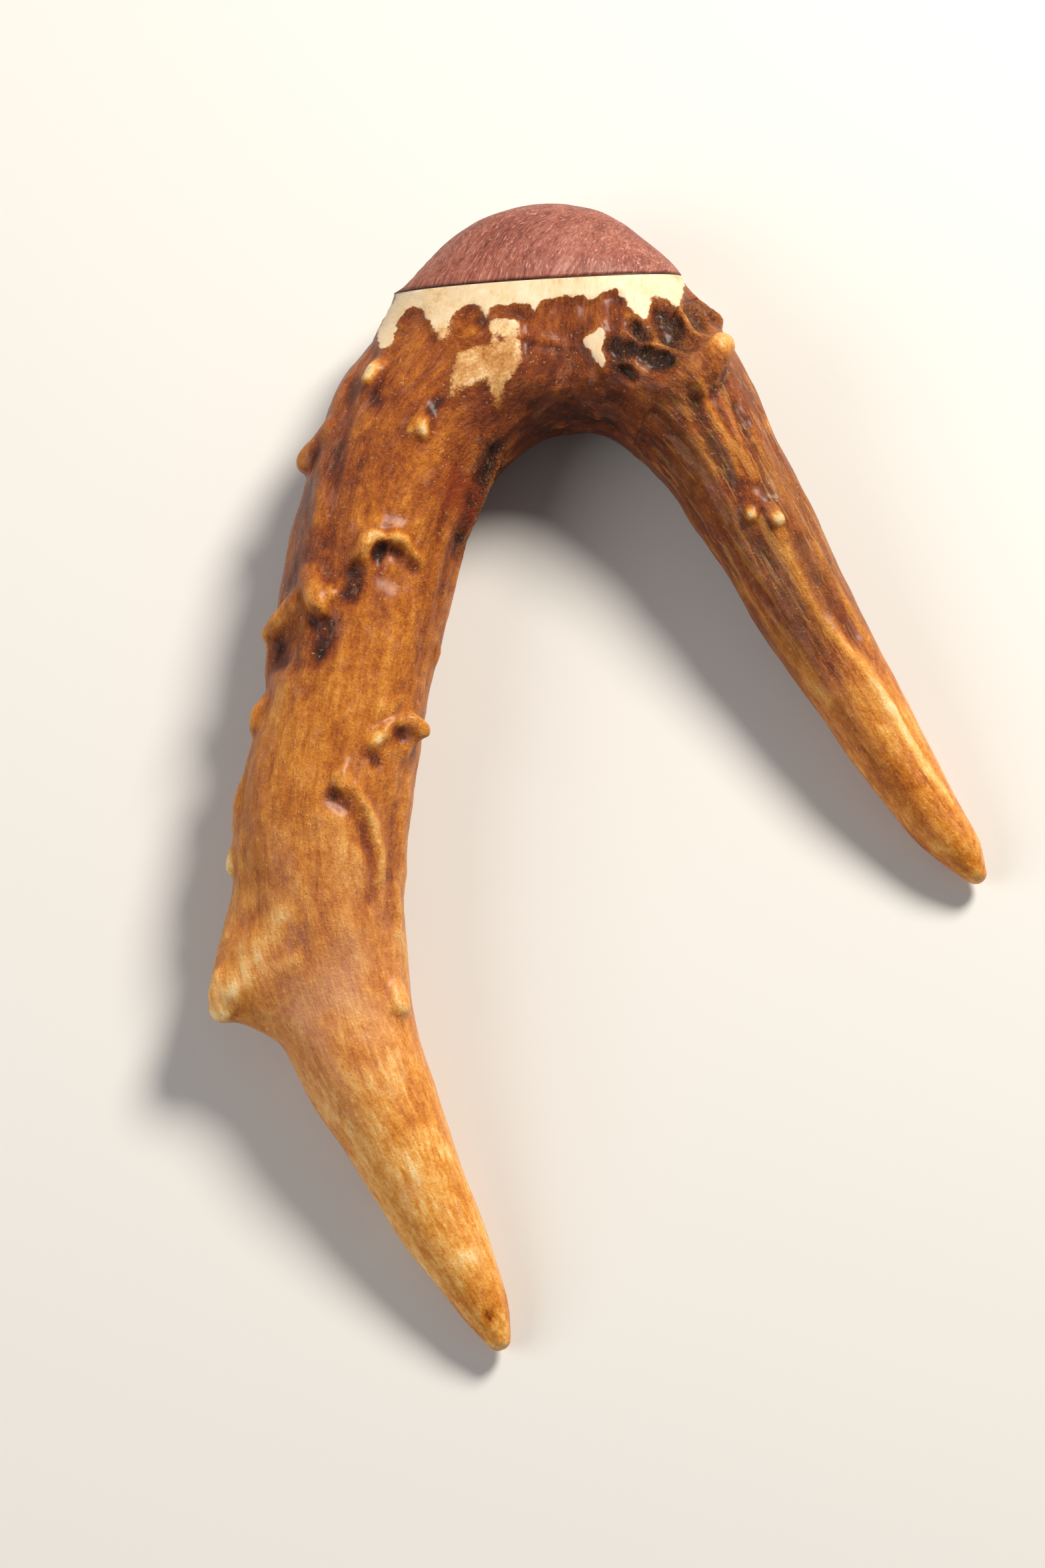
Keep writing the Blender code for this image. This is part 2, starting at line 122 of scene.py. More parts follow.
# Bony growths: how much paler the last ball's top is, then a row of balls that melt into the bark. A
# ball is x, y, how far its middle stands over the bark, its radius and its height (none: on the top).
GROWTHS = [
    (0.40, [(-26.9, 49.6, -1.7, 2.0), (-27.3, 48.1, -0.8, 1.7), (-27.8, 46.8, 0.3, 1.3)]),
    (0.26, [(-27.8, 46.8, 0.2, 1.2), (-28.5, 45.6, 0.3, 1.1)]),
    (0.20, [(-21.2, 41.2, -1.6, 2.0), (-21.8, 39.6, -0.5, 1.5), (-21.8, 38.5, 0.2, 1.0)]),
    (0.34, [(-21.9, 38.4, 0.1, 0.9), (-21.6, 37.6, 0.35, 0.75)]),
    (0.36, [(-22.9, 39.6, -0.3, 0.8), (-23.3, 38.6, 0.25, 0.55), (-23.3, 37.9, 0.2, 0.5)]),
    (0.00, [(-33.4, 40.4, -1.6, 2.4, 15.0), (-34.4, 38.4, -0.6, 2.1, 13.0), (-35.0, 37.0, 0.5, 1.7, 12.0)]),
    (0.0, [(-28.8, 25.4, -2.1, 2.6), (-26.6, 26.0, -2.0, 2.5), (-24.2, 25.6, -2.0, 2.4)]),
    (0.06, [(-29.9, 21.4, -0.7, 1.2), (-29.2, 22.2, -0.2, 1.2), (-28.4, 23.0, 0.25, 1.2)]),
    (0.02, [(-28.5, 22.4, 0.0, 1.1), (-28.3, 21.0, -0.5, 1.1)]),
    (0.24, [(-28.9, 23.4, 0.2, 0.9), (-28.2, 24.1, 0.35, 0.9), (-27.2, 24.3, 0.25, 0.85)]),
    (0.10, [(-27.2, 24.3, 0.1, 0.8), (-26.2, 23.9, 0.1, 0.75), (-25.2, 24.4, 0.1, 0.9)]),
    (-0.06, [(-25.2, 24.2, 0.1, 1.0), (-24.2, 24.1, 0.3, 1.0), (-23.4, 23.1, -0.1, 0.9),
             (-21.8, 22.0, -0.4, 0.9)]),
    (-0.02, [(-35.8, 20.4, -1.7, 2.5), (-35.0, 18.4, -0.9, 2.2), (-34.5, 16.9, 0.0, 1.7),
             (-34.0, 15.7, 0.4, 1.3), (-33.6, 14.8, 0.1, 1.0)]),
    (0.16, [(-34.4, 18.4, -0.2, 0.9), (-33.2, 17.8, 0.0, 0.8), (-32.6, 17.0, 0.0, 0.7)]),
    (0.05, [(-35.9, 19.6, -1.4, 1.9), (-37.2, 16.9, -1.0, 2.0), (-38.9, 15.4, -0.6, 2.0),
            (-39.9, 14.3, 0.1, 1.7, 13.0)]),
    (-0.04, [(-39.9, 12.6, -0.9, 2.0, 13.0), (-40.8, 10.6, -1.0, 1.9, 11.5), (-41.2, 8.6, -1.4, 1.8, 11.0)]),
    (-0.04, [(-40.4, 5.6, -1.3, 1.9, 13.0), (-40.8, 3.9, -0.5, 1.7, 12.5), (-41.0, 2.4, -0.7, 1.6, 12.5)]),
    (0.02, [(-19.7, 12.8, -0.5, 0.9, 12.0), (-19.9, 11.4, -0.4, 0.9, 12.0)]),
    (0.0, [(-26.2, 3.2, -1.9, 2.3), (-24.0, 4.4, -2.0, 2.4), (-21.8, 4.2, -1.8, 2.2, 14.5)]),
    (0.06, [(-28.0, -1.6, -0.7, 1.1), (-26.8, -0.4, -0.3, 1.1), (-25.6, 1.0, -0.2, 1.1),
            (-24.4, 2.0, -0.1, 1.1), (-23.0, 2.4, 0.0, 1.1)]),
    (0.18, [(-27.5, -1.3, 0.1, 0.6), (-27.1, -0.9, 0.2, 0.55)]),
    (-0.04, [(-22.8, -1.8, -1.4, 2.0, 15.5), (-22.0, 0.2, -0.5, 1.7, 15.5), (-21.2, 1.2, 0.5, 1.4, 15.5),
             (-20.6, 1.2, 1.3, 1.2, 15.5)]),
    (-0.04, [(-23.2, 2.3, 0.0, 1.1), (-22.0, 2.3, 0.4, 1.1, 16.5), (-21.0, 1.6, 0.9, 1.15, 16.0)]),
    (-0.04, [(-30.8, -4.2, -1.4, 1.8), (-31.2, -5.8, -0.8, 1.6), (-31.4, -7.0, -0.2, 1.1)]),
    (0.08, [(-29.8, -6.6, -0.4, 1.0), (-28.4, -8.8, -0.1, 0.8), (-27.5, -10.8, 0.0, 0.7)]),
    (0.10, [(-27.4, -11.0, -0.1, 0.7), (-26.7, -13.2, -0.1, 0.7), (-26.5, -15.4, -0.1, 0.7),
            (-26.6, -17.4, 0.1, 0.7)]),
    (0.0, [(-43.4, -4.4, -1.1, 1.6, 12.5), (-44.0, -7.2, -0.9, 1.8, 12.0), (-44.4, -9.8, -1.2, 1.7, 11.5)]),
    (0.16, [(-44.7, -13.0, -1.0, 1.6, 11.0), (-45.0, -14.6, -0.3, 1.3, 11.0)]),
    (0.06, [(-24.3, -17.6, -0.6, 1.0, 13.5), (-24.0, -20.4, -0.5, 1.2, 13.0),
            (-24.0, -23.6, -0.8, 1.1, 12.5)]),
    (0.02, [(-24.2, -27.4, -0.7, 1.0, 13.0), (-24.4, -30.2, -0.8, 1.4, 13.0)]),
    (0.06, [(-24.0, -30.6, -0.8, 1.9, 13.0), (-23.6, -32.2, -0.5, 1.9, 13.0)]),
    (0.10, [(-45.4, -28.6, -0.8, 1.5, 11.0), (-46.2, -30.6, -0.6, 1.3, 10.5),
            (-45.2, -32.4, -0.7, 1.4, 10.0)]),
    (0.38, [(8.6, 44.6, -2.8, 3.6), (11.4, 45.8, -2.1, 3.9), (12.8, 47.0, -0.7, 3.1), (13.6, 48.2, 0.8, 2.4),
            (14.1, 49.2, 1.9, 1.85)]),
    (0.02, [(9.6, 56.4, -1.1, 1.5), (10.5, 54.0, -0.6, 1.5), (11.6, 52.0, -0.4, 1.5),
            (12.9, 50.4, 0.0, 1.6)]),
    (-0.02, [(2.8, 54.0, -0.9, 1.1), (4.6, 52.9, -0.5, 1.0), (6.2, 51.3, -0.4, 0.9), (7.9, 49.9, -0.4, 0.9),
             (9.7, 48.0, -0.5, 1.2)]),
    (0.06, [(4.4, 50.2, -0.5, 0.9), (5.8, 49.5, -0.3, 0.9), (7.6, 49.4, -0.4, 0.9)]),
    (0.10, [(2.6, 51.8, -0.7, 0.9), (4.6, 50.6, -0.5, 0.9), (4.8, 48.6, -0.5, 0.8), (4.4, 46.2, -0.6, 0.8)]),
    (-0.02, [(12.0, 60.4, -1.0, 1.7, 12.5), (13.6, 58.4, -0.7, 1.8, 13.0), (15.2, 56.4, -0.3, 1.7, 12.5)]),
    (-0.04, [(16.2, 53.4, -1.2, 1.4, 13.0), (17.3, 50.2, -1.3, 1.4, 12.5)]),
    (0.24, [(18.6, 45.4, -0.7, 0.8, 14.5), (19.4, 43.2, -0.5, 0.8, 14.0), (20.3, 41.0, -0.7, 0.8, 13.5)]),
    (0.34, [(-0.2, 43.4, -0.3, 0.7), (-0.1, 42.8, 0.05, 0.6)]),
    (0.12, [(-4.7, 42.3, -0.3, 0.9)]),
    (0.0, [(17.2, 31.6, -1.3, 1.7), (19.0, 30.9, -1.2, 1.6), (20.8, 30.2, -1.2, 1.5)]),
    (0.50, [(18.1, 30.0, -0.4, 1.0), (18.7, 28.9, 0.35, 0.85)]),
    (0.50, [(21.1, 29.4, -0.4, 1.0), (21.9, 28.3, 0.35, 0.85)]),
    (0.06, [(-2.4, 48.0, -0.6, 0.8), (-1.6, 51.0, -0.5, 0.8), (0.2, 52.6, -0.5, 0.9)]),
    (-0.06, [(-10.2, 35.2, -1.6, 2.0, 13.5), (-11.8, 32.8, -1.0, 2.1, 13.5), (-13.4, 30.1, -1.0, 2.1, 13.5),
             (-15.0, 27.2, -1.4, 2.0, 13.5)]),
    (0.0, [(-16.0, 50.0, -1.5, 2.1, 0.0)]),
    (0.0, [(-31.5, 12.0, -1.5, 2.1, 0.0)]),
    (0.0, [(-33.0, -15.0, -1.3, 1.9, 0.0)]),
    (0.0, [(11.5, 46.5, -1.4, 2.1, 1.0)]),
]
BALL_STEP = 0.35

# Low relief on the upper side: height (hollows are negative), width, change of tone, points. The darker tone
# in the hollows is partly dirt, partly painted shadow.
RELIEF = [
    (-0.4, 1.0, -0.22, [(-28.0, 43.4), (-27.6, 42.4)]),
    (-0.3, 0.9, -0.22, [(-20.0, 41.8), (-20.6, 40.9)]),
    (-0.5, 1.2, -0.20, [(-30.0, 20.0), (-29.8, 18.4), (-30.4, 16.8)]),
    (-0.6, 0.9, -0.22, [(-27.1, 21.8), (-26.6, 22.6)]),
    (-0.4, 0.8, -0.16, [(-25.4, 22.6), (-24.2, 21.6), (-22.6, 20.8)]),
    (-0.3, 1.6, -0.06, [(-26.6, 19.6), (-24.4, 19.4)]),
    (-0.6, 1.2, -0.24, [(-32.9, 13.6), (-33.1, 11.8), (-33.9, 10.0)]),
    (-0.3, 0.8, -0.14, [(-35.0, 14.6), (-34.4, 10.6), (-34.6, 8.4)]),
    (-0.5, 1.1, -0.18, [(-39.4, 12.0), (-39.2, 10.0)]),
    (-0.4, 1.5, -0.08, [(-37.4, 12.0), (-37.2, 8.6)]),
    (-0.5, 0.9, -0.18, [(-24.2, 0.4), (-22.9, 0.3)]),
    (-0.4, 0.9, -0.20, [(-27.9, -2.8), (-27.0, -3.4)]),
    (-0.5, 1.1, -0.26, [(-32.2, -8.2), (-31.0, -9.0)]),
    (-0.3, 1.0, -0.06, [(-29.4, -10.6), (-28.6, -13.6)]),
    (-0.3, 0.6, -0.16, [(-28.5, -11.6), (-27.9, -14.4), (-27.6, -17.0), (-27.7, -20.4)]),
    (0.1, 0.5, 0.10, [(-28.6, -8.4), (-27.5, -11.0), (-26.7, -13.4), (-26.5, -16.0)]),
    (-0.25, 1.0, -0.08, [(-25.2, -8.0), (-24.9, -14.0), (-25.2, -22.0)]),
    (-0.8, 1.25, -0.06, [(5.0, 52.2), (5.5, 51.3)]),
    (-1.0, 1.45, -0.08, [(8.0, 54.2), (9.1, 51.2)]),
    (-0.8, 1.15, -0.08, [(1.6, 49.5), (2.6, 48.6), (3.6, 48.9)]),
    (-0.8, 1.15, -0.10, [(5.6, 48.0), (6.6, 47.2), (7.9, 47.5)]),
    (-0.7, 1.15, -0.06, [(12.0, 55.4), (12.9, 52.6)]),
    (-0.7, 0.8, -0.04, [(3.0, 46.4), (4.0, 45.6)]),
    (0.12, 0.4, 0.14, [(10.2, 55.0), (11.2, 52.6), (12.2, 51.2)]),
    (0.12, 0.4, 0.12, [(3.4, 53.6), (5.2, 52.9), (6.6, 51.4), (6.9, 49.4), (9.4, 48.6)]),
    (0.12, 0.4, 0.10, [(3.0, 51.2), (4.5, 50.2), (5.9, 49.6), (8.6, 49.4)]),
    (-0.3, 1.3, -0.22, [(-12.8, 36.2), (-14.0, 32.4), (-15.2, 28.8), (-16.8, 24.6)]),
    (0.25, 0.5, 0.08, [(-14.9, 37.0), (-16.4, 34.4), (-15.9, 32.6)]),
    (0.0, 0.9, -0.20, [(19.0, 18.4), (21.6, 13.6), (24.3, 8.9), (28.0, 3.0)]),
    (-0.4, 1.2, -0.08, [(3.2, 56.0), (4.6, 55.2)]),
    (-0.4, 0.9, -0.12, [(1.8, 46.8), (2.6, 45.6)]),
    (-0.3, 0.8, -0.14, [(-14.6, 52.6), (-14.0, 52.2)]),
    (-0.3, 1.0, -0.08, [(-10.6, 53.4), (-9.2, 53.0)]),
    (0.14, 0.4, 0.03, [(-9.6, 50.7), (-6.0, 50.0), (-2.8, 49.6)]),
    (-0.12, 0.5, -0.08, [(-9.4, 49.9), (-6.0, 49.3), (-3.0, 48.9)]),
    (0.22, 0.45, 0.20, [(12.4, 44.4), (14.2, 40.6), (15.9, 37.6), (17.2, 33.8)]),
    (0.18, 0.4, 0.16, [(14.6, 43.6), (16.2, 41.0), (17.3, 37.0), (19.2, 33.4)]),
    (0.12, 0.35, 0.10, [(10.4, 41.8), (12.8, 36.4), (15.4, 31.8), (17.6, 26.4)]),
    (-0.3, 0.9, -0.08, [(11.0, 43.6), (13.8, 37.8), (16.0, 32.6)]),
    (-0.3, 0.8, -0.05, [(16.8, 42.4), (19.0, 37.0), (20.8, 31.4)]),
    (0.2, 0.6, 0.12, [(18.8, 40.0), (21.4, 35.0), (23.8, 29.6)]),
    # The next two rows are one pale crest along the tine's right side: partly its own lighter colour, partly
    # a painted highlight.
    (0.3, 0.7, 0.20, [(22.0, 26.8), (24.2, 21.6), (26.4, 17.4), (29.4, 13.6), (33.0, 9.6), (35.8, 5.2)]),
    (0.1, 0.6, 0.18, [(35.7, 5.6), (37.4, 2.4), (40.0, -1.4), (43.0, -5.2)]),
    (0.0, 1.5, -0.14, [(30.4, 3.4), (33.0, 0.2), (35.4, -3.4)]),
    (0.0, 0.9, -0.10, [(36.6, -1.0), (38.6, -3.4)]),
    (-0.3, 1.3, -0.14, [(19.8, 25.4), (22.8, 19.0), (26.4, 13.4), (29.2, 9.0)]),
    (0.2, 0.7, 0.16, [(17.6, 21.6), (19.8, 18.6), (22.5, 14.0), (25.4, 10.0), (28.2, 6.8)]),
    (-0.3, 1.1, -0.12, [(24.8, 26.0), (27.8, 20.0), (31.2, 14.4)]),
    (0.2, 0.6, 0.12, [(26.6, 26.0), (29.6, 20.0), (32.8, 14.4)]),
    (0.3, 1.8, 0.16, [(-45.0, -30.6), (-41.4, -26.4), (-38.0, -22.4)]),
    (0.2, 1.0, 0.05, [(-44.2, -31.0), (-40.6, -29.2), (-36.4, -27.4)]),
    (-0.35, 2.4, -0.03, [(-42.6, -21.6), (-40.6, -18.0)]),
    (-0.35, 2.8, -0.04, [(-38.6, -32.4), (-34.0, -32.6), (-31.0, -28.0)]),
    (-0.3, 0.4, -0.34, [(-13.7, -68.4), (-13.4, -68.9)]),
    (0.35, 0.9, 0.02, [(-31.4, 50.0), (-33.0, 42.0), (-34.0, 34.0), (-34.6, 27.0)]),
    (-0.35, 1.0, -0.08, [(-30.6, 46.0), (-32.0, 38.0), (-32.6, 30.0), (-33.4, 24.0)]),
    (-0.3, 0.9, -0.08, [(-36.0, 33.0), (-37.0, 26.0), (-38.0, 20.0)]),
    (-0.25, 1.0, -0.12, [(-12.4, 38.0), (-15.6, 32.0), (-18.0, 24.0), (-19.4, 15.0)]),
    (-0.2, 0.7, -0.08, [(-16.8, 36.0), (-19.4, 28.0), (-21.0, 18.0), (-22.2, 8.6)]),
]

# Relief deeper than this is a pit with a flat floor and steep sides.
PIT = -0.65
# How strongly the bark is fluted, knotted, crumbly and swollen, and how far the sanding steps down.
FLUTE = 0.5
KNOT = 0.09
CRUMB = 0.24
SWELL = 0.22
BAND_STEP = 0.42
TINE_GRAIN_SHIFT = (6.0, 17.0, 0.0)  # keeps the tine's grain unlike the beam's

# Where each limb, from its sawn end on, goes from rough to worn smooth.
BEAM_WORN = (92.0, 120.0)
TINE_WORN = (46.0, 72.0)
# How light each limb is at distances from its sawn end.
BEAM_TONE = [
    (10, 0.44), (30, 0.43), (45, 0.50), (60, 0.54), (75, 0.56), (90, 0.60), (100, 0.66), (115, 0.68),
    (130, 0.73), (144, 0.75), (150, 0.66), (156, 0.60),
]
TINE_TONE = [
    (0, 0.44), (16, 0.40), (28, 0.38), (40, 0.39), (52, 0.44), (62, 0.57), (74, 0.67), (82, 0.60),
    (88, 0.56),
]

# Soft areas: x, y, reach in x, reach in y. The first is painted shade in the crook between the limbs, the
# second is darker, the others are a painted pinkish sheen.
CROOK_SHADE = (-3.0, 40.0, 11.0, 12.2)
CRAGS = (8.0, 51.0, 6.5, 6.5)
# The next two areas are a painted pinkish sheen.
SHEEN_FORK = (-32.0, -30.0, 9.1, 14.0)
SHEEN_CRAGS = (7.0, 49.0, 5.0, 5.0)
# Round areas: x, y, radius. The bark is crusty in some and stained red in one.
CRUST = [
    (7.4, 50.6, 6.0), (2.6, 48.4, 3.0), (12.4, 56.0, 3.6), (-12.2, 35.6, 4.4), (-13.6, 31.0, 3.8),
    (-15.6, 26.4, 3.0),
]
RED_STAIN = (-16.6, 31.6, 4.4)

# The sanded, cream-coloured areas of the upper side, as outlines.
BAND = [
    (-25.4, 58.9), (-26.5, 57.3), (-27.5, 54.6), (-27.6, 52.2), (-27.1, 50.5), (-26.4, 50.2), (-25.8, 50.7),
    (-25.3, 52.4), (-24.7, 54.8), (-24.0, 55.8), (-22.9, 55.8), (-21.8, 55.1), (-21.1, 53.2), (-20.4, 51.4),
    (-19.7, 50.8), (-19.1, 51.0), (-18.5, 52.4), (-17.6, 54.1), (-16.5, 54.9), (-15.3, 54.9), (-14.6, 54.2),
    (-14.0, 53.2), (-13.2, 54.2), (-11.4, 54.6), (-8.6, 54.6), (-8.1, 53.7), (-7.5, 54.8), (-5.8, 55.6),
    (-3.6, 56.0), (-0.8, 55.8), (0.5, 56.6), (1.8, 57.1), (2.7, 56.4), (3.5, 55.0), (4.6, 53.6),
    (5.6, 52.8), (6.2, 53.5), (6.4, 55.2), (7.1, 56.6), (8.4, 56.4), (9.6, 55.2), (10.2, 56.3),
    (10.6, 58.6), (11.0, 62.5), (11.0, 70.0), (-28.0, 70.0), (-25.6, 59.8),
]
PATCH = [
    (-13.4, 52.4), (-11.8, 52.7), (-10.2, 52.4), (-10.1, 50.0), (-9.8, 47.3), (-10.8, 45.5), (-11.7, 44.0),
    (-12.0, 42.7), (-12.6, 41.7), (-13.1, 42.8), (-13.5, 43.8), (-14.3, 44.8), (-15.8, 44.3), (-17.2, 43.3),
    (-18.3, 42.7), (-18.2, 44.4), (-17.9, 46.2), (-17.4, 48.2), (-15.6, 48.7), (-13.6, 49.2), (-13.3, 50.8),
]
PATCH_HOLE = [(-13.0, 50.6), (-12.3, 50.9), (-11.7, 50.3), (-12.0, 49.7), (-12.7, 49.8)]
SPOT = [
    (0.2, 51.8), (-0.7, 51.2), (-1.8, 50.5), (-1.8, 49.5), (-0.9, 48.3), (0.0, 47.0), (0.6, 46.3),
    (0.8, 47.0), (0.4, 48.4), (0.5, 50.0), (0.8, 51.0),
]
# Round the sides and the back the sanding ends in drips: how far down, how uneven, how wide.
DRIP_REACH = 5.2
DRIP_SWING = 3.4
DRIP_WIDTH = 3.2
DRAWN_FROM = (8.5, 12.5)  # the heights between which the outlines take over from the drips

LIGHT_TARGET = (0.0, 0.0, 0.01)
# Lights: name, place in metres, size in metres, watts, colour.
LIGHTS = [
    ("key", (0.34, 0.42, 0.50), 0.24, 8.2, (1.0, 0.95, 0.88)),
    ("fill", (-0.55, -0.15, 0.45), 0.5, 2.2, (0.98, 0.98, 1.0)),
]
FLOOR_HALF_SIZE = 1.5  # in metres
CAMERA_TILT = 17.0
CAMERA_DISTANCE = 531.17
CAMERA_TARGET = (-9.5, -4.0, 10.5)


# ---------------- geometry helpers


def link(name, data):
    """A new object in the scene."""
    made = bpy.data.objects.new(name, data)
    bpy.context.scene.collection.objects.link(made)
    return made


def hermite(low, high, slope_low, slope_high, length, t):
    """A smooth curve over a length, from low to high with the given end slopes, at the share t."""
    return (
        (2 * t**3 - 3 * t**2 + 1) * low
        + (t**3 - 2 * t**2 + t) * length * slope_low
        + (3 * t**2 - 2 * t**3) * high
        + (t**3 - t**2) * length * slope_high
    )


def middles_of(rows):
    return np.column_stack(((rows[:, 0:2] + rows[:, 2:4]) / 2.0, rows[:, 4]))


def run_length(points):
    """How far along their line each of the points lies."""
    return np.concatenate(([0.0], np.cumsum(np.linalg.norm(np.diff(points, axis=0), axis=1))))


def smooth_sections(sections):
    """Reads a smooth run of sections through the given ones, about FINE_SPACING apart."""
    rows = np.array(sections, float)
    along = run_length(middles_of(rows))
    slopes = np.gradient(rows, along, axis=0)
    out = []
    for i in range(len(rows) - 1):
        length = along[i + 1] - along[i]
        count = max(1, round(length / FINE_SPACING))
        for t in np.arange(count) / count:
            out.append(hermite(rows[i], rows[i + 1], slopes[i], slopes[i + 1], length, t))
    out.append(rows[-1])
    return np.array(out)


def section_ring(section):
    """One oval section as an array of points."""
    outer = np.array((section[0], section[1], section[4]))
    inner = np.array((section[2], section[3], section[4]))
    angles = 2.0 * np.pi * np.arange(FINE_SEGMENTS)[:, None] / FINE_SEGMENTS
    up = np.array((0.0, 0.0, section[5]))
    return (outer + inner) / 2 + (outer - inner) / 2 * np.cos(angles) + up * np.sin(angles)


def band_of_faces(bm, low, high):
    """Joins two closed rows of vertices."""
    for k in range(len(low)):
        after = (k + 1) % len(low)
        bm.faces.new((low[k], low[after], high[after], high[k]))


def tube(bm, rings, tip):
    """Joins rings of equal length into a closed body, flat at the first and pointed at the tip."""
    loops = [[bm.verts.new(point) for point in ring] for ring in rings]
    for low, high in zip(loops, loops[1:]):
        band_of_faces(bm, low, high)
    bm.faces.new(loops[0])
    end, last = bm.verts.new(tip), loops[-1]
    for k in range(len(last)):
        bm.faces.new((last[k], last[(k + 1) % len(last)], end))


def add_limb(bm, sections):
    """A limb with a rounded tip that runs on past its last section by TIP_REACH."""
    rings = [section_ring(section) for section in smooth_sections(sections)]
    middle = rings[-1].mean(axis=0)
    heading = middle - rings[-2].mean(axis=0)
    heading = heading / np.linalg.norm(heading) * TIP_REACH
    last = rings[-1]
    for turn in np.radians((20.0, 40.0, 60.0, 76.0)):
        rings.append(middle + heading * np.sin(turn) + (last - middle) * np.cos(turn))
    tube(bm, rings, middle + heading)


def to_mesh(bm, name):
    bmesh.ops.recalc_face_normals(bm, faces=bm.faces)
    mesh = bpy.data.meshes.new(name)
    bm.to_mesh(mesh)
    bm.free()
    return mesh


def evaluated(mesh, kind, **settings):
    """The mesh after one modifier."""
    carrier = link("carrier", mesh)
    step = carrier.modifiers.new("step", kind)
    for key, value in settings.items():
        setattr(step, key, value)
    graph = bpy.context.evaluated_depsgraph_get()
    graph.update()
    made = bpy.data.meshes.new_from_object(carrier.evaluated_get(graph))
    bpy.data.objects.remove(carrier, do_unlink=True)
    return made


def surface_tree(mesh):
    return BVHTree.FromPolygons([v.co for v in mesh.vertices], [p.vertices for p in mesh.polygons])


def read_all(items, key, width, kind=float):
    """One value of all items as rows of the given width."""
    flat = np.empty(width * len(items), kind)
    items.foreach_get(key, flat)
    return flat.reshape(-1, width)


def points_of(mesh):
    return read_all(mesh.vertices, "co", 3)


def set_points(mesh, points):
    mesh.vertices.foreach_set("co", points.ravel())
    mesh.update()


def normals_of(mesh):
    return read_all(mesh.vertex_normals, "vector", 3)


def edges_of(mesh):
    return read_all(mesh.edges, "vertices", 2, np.int32)


def store(mesh, name, values):
    """Keeps one number or one vector per vertex under a name that a material can read."""
    kind, key = ("FLOAT_VECTOR", "vector") if values.ndim == 2 else ("FLOAT", "value")
    layer = mesh.attributes.new(name, kind, "POINT")
    layer.data.foreach_set(key, values.astype(np.float32).ravel())


def neighbour_mean(values, edges):
    """The mean of each vertex's neighbours, for one column or several."""
    count = len(values)
    heads = np.concatenate((edges[:, 0], edges[:, 1]))
    tails = np.concatenate((edges[:, 1], edges[:, 0]))
    degree = np.maximum(np.bincount(heads, minlength=count), 1)
    columns = values.reshape(count, -1).T
    summed = [np.bincount(heads, weights=column[tails], minlength=count) for column in columns]
    return (np.array(summed).T / degree[:, None]).reshape(values.shape)


def smooth(points, edges, rounds, share=0.5, spring=0.0):
    """Smooths points. The share may differ from point to point, and spring pushes back the shrinkage."""
    for _ in range(rounds):
        points = points + share * (neighbour_mean(points, edges) - points)
        if spring:
            points = points - spring * (neighbour_mean(points, edges) - points)
    return points


def step_between(low, high, values):
    """A smooth step from 0 at low to 1 at high."""
    t = np.clip((values - low) / (high - low), 0.0, 1.0)
    return t * t * (3.0 - 2.0 * t)


def noise_at(points, octaves, seed):
    """Smooth noise, about -1 to 1, at points already divided by the size of its grain."""
    shift = Vector((31.7, 12.3, 57.1)) * (seed + 1.0)
    return np.array([noise.fractal(Vector(p) + shift, 1.0, 2.0, octaves) for p in points])


def ridges_at(points, octaves, seed):
    """Noise from 0 to about 1 with sharp crests."""
    shift = Vector((11.9, 43.3, 7.7)) * (seed + 1.0)
    rough = (noise.ridged_multi_fractal(Vector(p) + shift, 1.0, 2.1, octaves, 1.0, 2.0) for p in points)
    return np.array(list(rough)) / 2.0


def disc_share(points, x, y, radius, core):
    """1 in the core of a round area seen from above, falling to 0 at its edge. The core is a share."""
    return step_between(radius, core * radius, np.hypot(points[:, 0] - x, points[:, 1] - y))


def bell_share(points, x, y, radius_x, radius_y):
    """A bell curve seen from above: 1 in its middle, about a third at its radii."""
    return np.exp(-(np.hypot((points[:, 0] - x) / radius_x, (points[:, 1] - y) / radius_y) ** 2))


def line_distance(points, line):
    """Distance in the XY plane to a line through the given points."""
    best = np.full(len(points), np.inf)
    line = np.array(line, float)
    for a, b in zip(line, line[1:]):
        edge = b - a
        t = np.clip(((points - a) @ edge) / (edge @ edge), 0.0, 1.0)
        best = np.minimum(best, np.linalg.norm(points - a - t[:, None] * edge, axis=1))
    return best


def rounded(outline):
    """A Catmull-Rom curve through the outline's points."""
    points = np.array(outline)
    out = []
    for i in range(len(points)):
        a, b, c, d = (points[(i + k) % len(points)] for k in (-1, 0, 1, 2))
        for t in (0.0, 0.33, 0.67):
            bend = 2 * a - 5 * b + 4 * c - d + t * (3 * (b - c) + d - a)
            out.append(tuple(b + 0.5 * t * (c - a + t * bend)))
    return out


def inside_distance(points, outline):
    """Distance in the XY plane to a rounded closed outline, positive inside it."""
    closed = rounded(outline)
    closed = np.array(closed + closed[:1], float)
    inside = np.zeros(len(points), bool)
    x, y = points.T
    for a, b in zip(closed, closed[1:]):
        if a[1] != b[1]:
            crosses = (a[1] > y) != (b[1] > y)
            inside ^= crosses & (x < a[0] + (y - a[1]) / (b[1] - a[1]) * (b[0] - a[0]))
    distance = line_distance(points, closed)
    return np.where(inside, distance, -distance)


